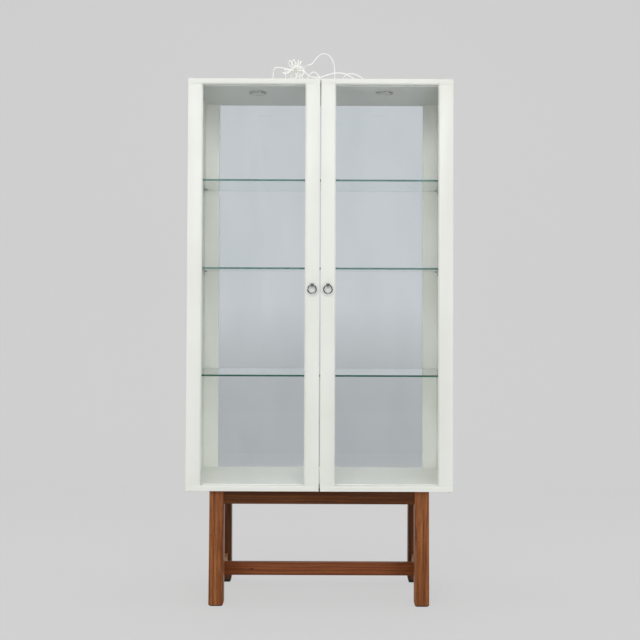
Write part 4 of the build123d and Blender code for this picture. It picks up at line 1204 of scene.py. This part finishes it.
@dataclass
class Studio:
    """The plain grey studio, its soft lamps and the camera."""

    camera_place: Triple = (0.0286, -3.830, 1.0361)
    pitch: float = 0.0230
    roll: float = 0.0039
    lens_mm: float = 60.62
    sensor_mm: float = 36.0
    shift: Pair = (-0.01336, -0.0720)
    backdrop_behind_m: float = 3.2
    backdrop_radius_m: float = 1.2
    backdrop_height_m: float = 4.2
    half_width_m: float = 7.0
    front_m: float = 6.5
    lamp_tint: Triple = (0.99, 1.0, 0.985)
    soft: float = 0.44

    def build(self) -> None:
        """Build the camera, the floor with its backdrop, the lamps and the world."""
        self.camera()
        self.backdrop()
        self.lamps()
        self.world()

    def camera(self) -> None:
        """The camera of the photograph."""
        data = bpy.data.cameras.new("studio_camera")
        data.lens = self.lens_mm
        data.sensor_width = self.sensor_mm
        data.shift_x, data.shift_y = self.shift
        data.clip_end = 60.0
        camera = bpy.data.objects.new("studio_camera", data)
        turn = Matrix.Rotation(math.pi / 2 + self.pitch, 4, "X") @ Matrix.Rotation(self.roll, 4, "Z")
        camera.matrix_world = Matrix.Translation(self.camera_place) @ turn
        bpy.context.scene.collection.objects.link(camera)
        bpy.context.scene.camera = camera

    def backdrop(self) -> None:
        """A pale floor that curves up into a backdrop, as one sheet."""
        radius = self.backdrop_radius_m
        bend = self.backdrop_behind_m - radius
        section = [(-self.front_m, 0.0), (bend, 0.0)]
        section += [(bend + radius * math.sin(a), radius - radius * math.cos(a))
                    for a in (math.radians(step) for step in range(6, 91, 6))]
        section.append((self.backdrop_behind_m, self.backdrop_height_m))
        floor = new_piece("studio_sweep", None, SeamlessPaper())
        work = bmesh.new()
        rows = [[work.verts.new((x, y, z)) for x in (-self.half_width_m, self.half_width_m)]
                for y, z in section]
        for low, high in zip(rows, rows[1:]):
            work.faces.new([low[0], low[1], high[1], high[0]])
        work.to_mesh(floor.data)
        work.free()
        floor.data.shade_smooth()

    def lamps(self) -> None:
        """A large soft key in front, a tall fill and a side light on each side, and a soft top light.

        Gloss does not show the fills.
        """
        for name, place, target, size, power in (
                ("key_softbox", (-0.3, -4.2, 3.2), (0.0, 0.0, 1.0), (2.8, 1.2), 46.0),
                ("fill_softbox_right", (1.9, -3.9, 1.3), (0.0, 0.0, 1.1), (1.4, 2.2), 34.0),
                ("fill_softbox_left", (-1.9, -3.9, 1.3), (0.0, 0.0, 1.1), (1.4, 2.2), 24.0),
                ("top_softbox", (0.0, 0.4, 3.9), (0.0, 0.1, 1.0), (2.4, 2.0), 34.0),
                ("side_softbox_right", (4.4, -0.4, 1.9), (0.0, 0.0, 1.1), (1.2, 1.8), 20.0),
                ("side_softbox_left", (-4.4, -0.4, 1.9), (0.0, 0.0, 1.1), (1.2, 1.8), 20.0)):
            data = bpy.data.lights.new(name, "AREA")
            data.shape = "RECTANGLE"
            data.size, data.size_y = size
            data.energy = power
            data.color = self.lamp_tint
            lamp = bpy.data.objects.new(name, data)
            lamp.visible_glossy = not name.startswith("fill")
            lamp.location = place
            lamp.rotation_euler = (Vector(target) - Vector(place)).to_track_quat("-Z", "Y").to_euler()
            bpy.context.scene.collection.objects.link(lamp)

    def world(self) -> None:
        """A soft grey world that shows the backdrop's grey, with a dim room in front for gloss."""
        world = bpy.data.worlds.new("studio_world")
        add = emptied(world)
        soft = add("Background", {"Color": grey(1.0), "Strength": self.soft})
        toward = add("TexCoord").outputs["Generated"]
        depth = add("SeparateXYZ", [toward]).outputs["Y"]
        dim = add("MapRange", [depth, -0.35, 0.35, 0.90, 0.0])
        path = add("LightPath").outputs
        clear = add("Math", [path["Is Transmission Ray"], 0.6], "MULTIPLY")
        mirrored = add("Math", [path["Is Glossy Ray"], clear], "SUBTRACT", use_clamp=True)
        loss = add("Math", [mirrored, dim], "MULTIPLY")
        kept = add("Math", [1.0, loss], "SUBTRACT")
        shown = add("Background", {"Color": STUDIO_GREY, "Strength": kept})
        mixed = add("MixShader", [seen(add), soft, shown])
        add("OutputWorld", {"Surface": mixed})
        bpy.context.scene.world = world


def main() -> None:
    """Build the studio and every sub-assembly."""
    logging.basicConfig(level=logging.INFO, format="%(name)s: %(message)s")
    bpy.context.scene.view_settings.view_transform = "Standard"
    doors = [Door(side) for side in Side]
    for part in (Studio(), Leads(), Case(), Shelves(), Spotlights(), *doors, Stand()):
        part.build()
    bpy.context.view_layer.update()


if __name__ == "__main__":
    main()
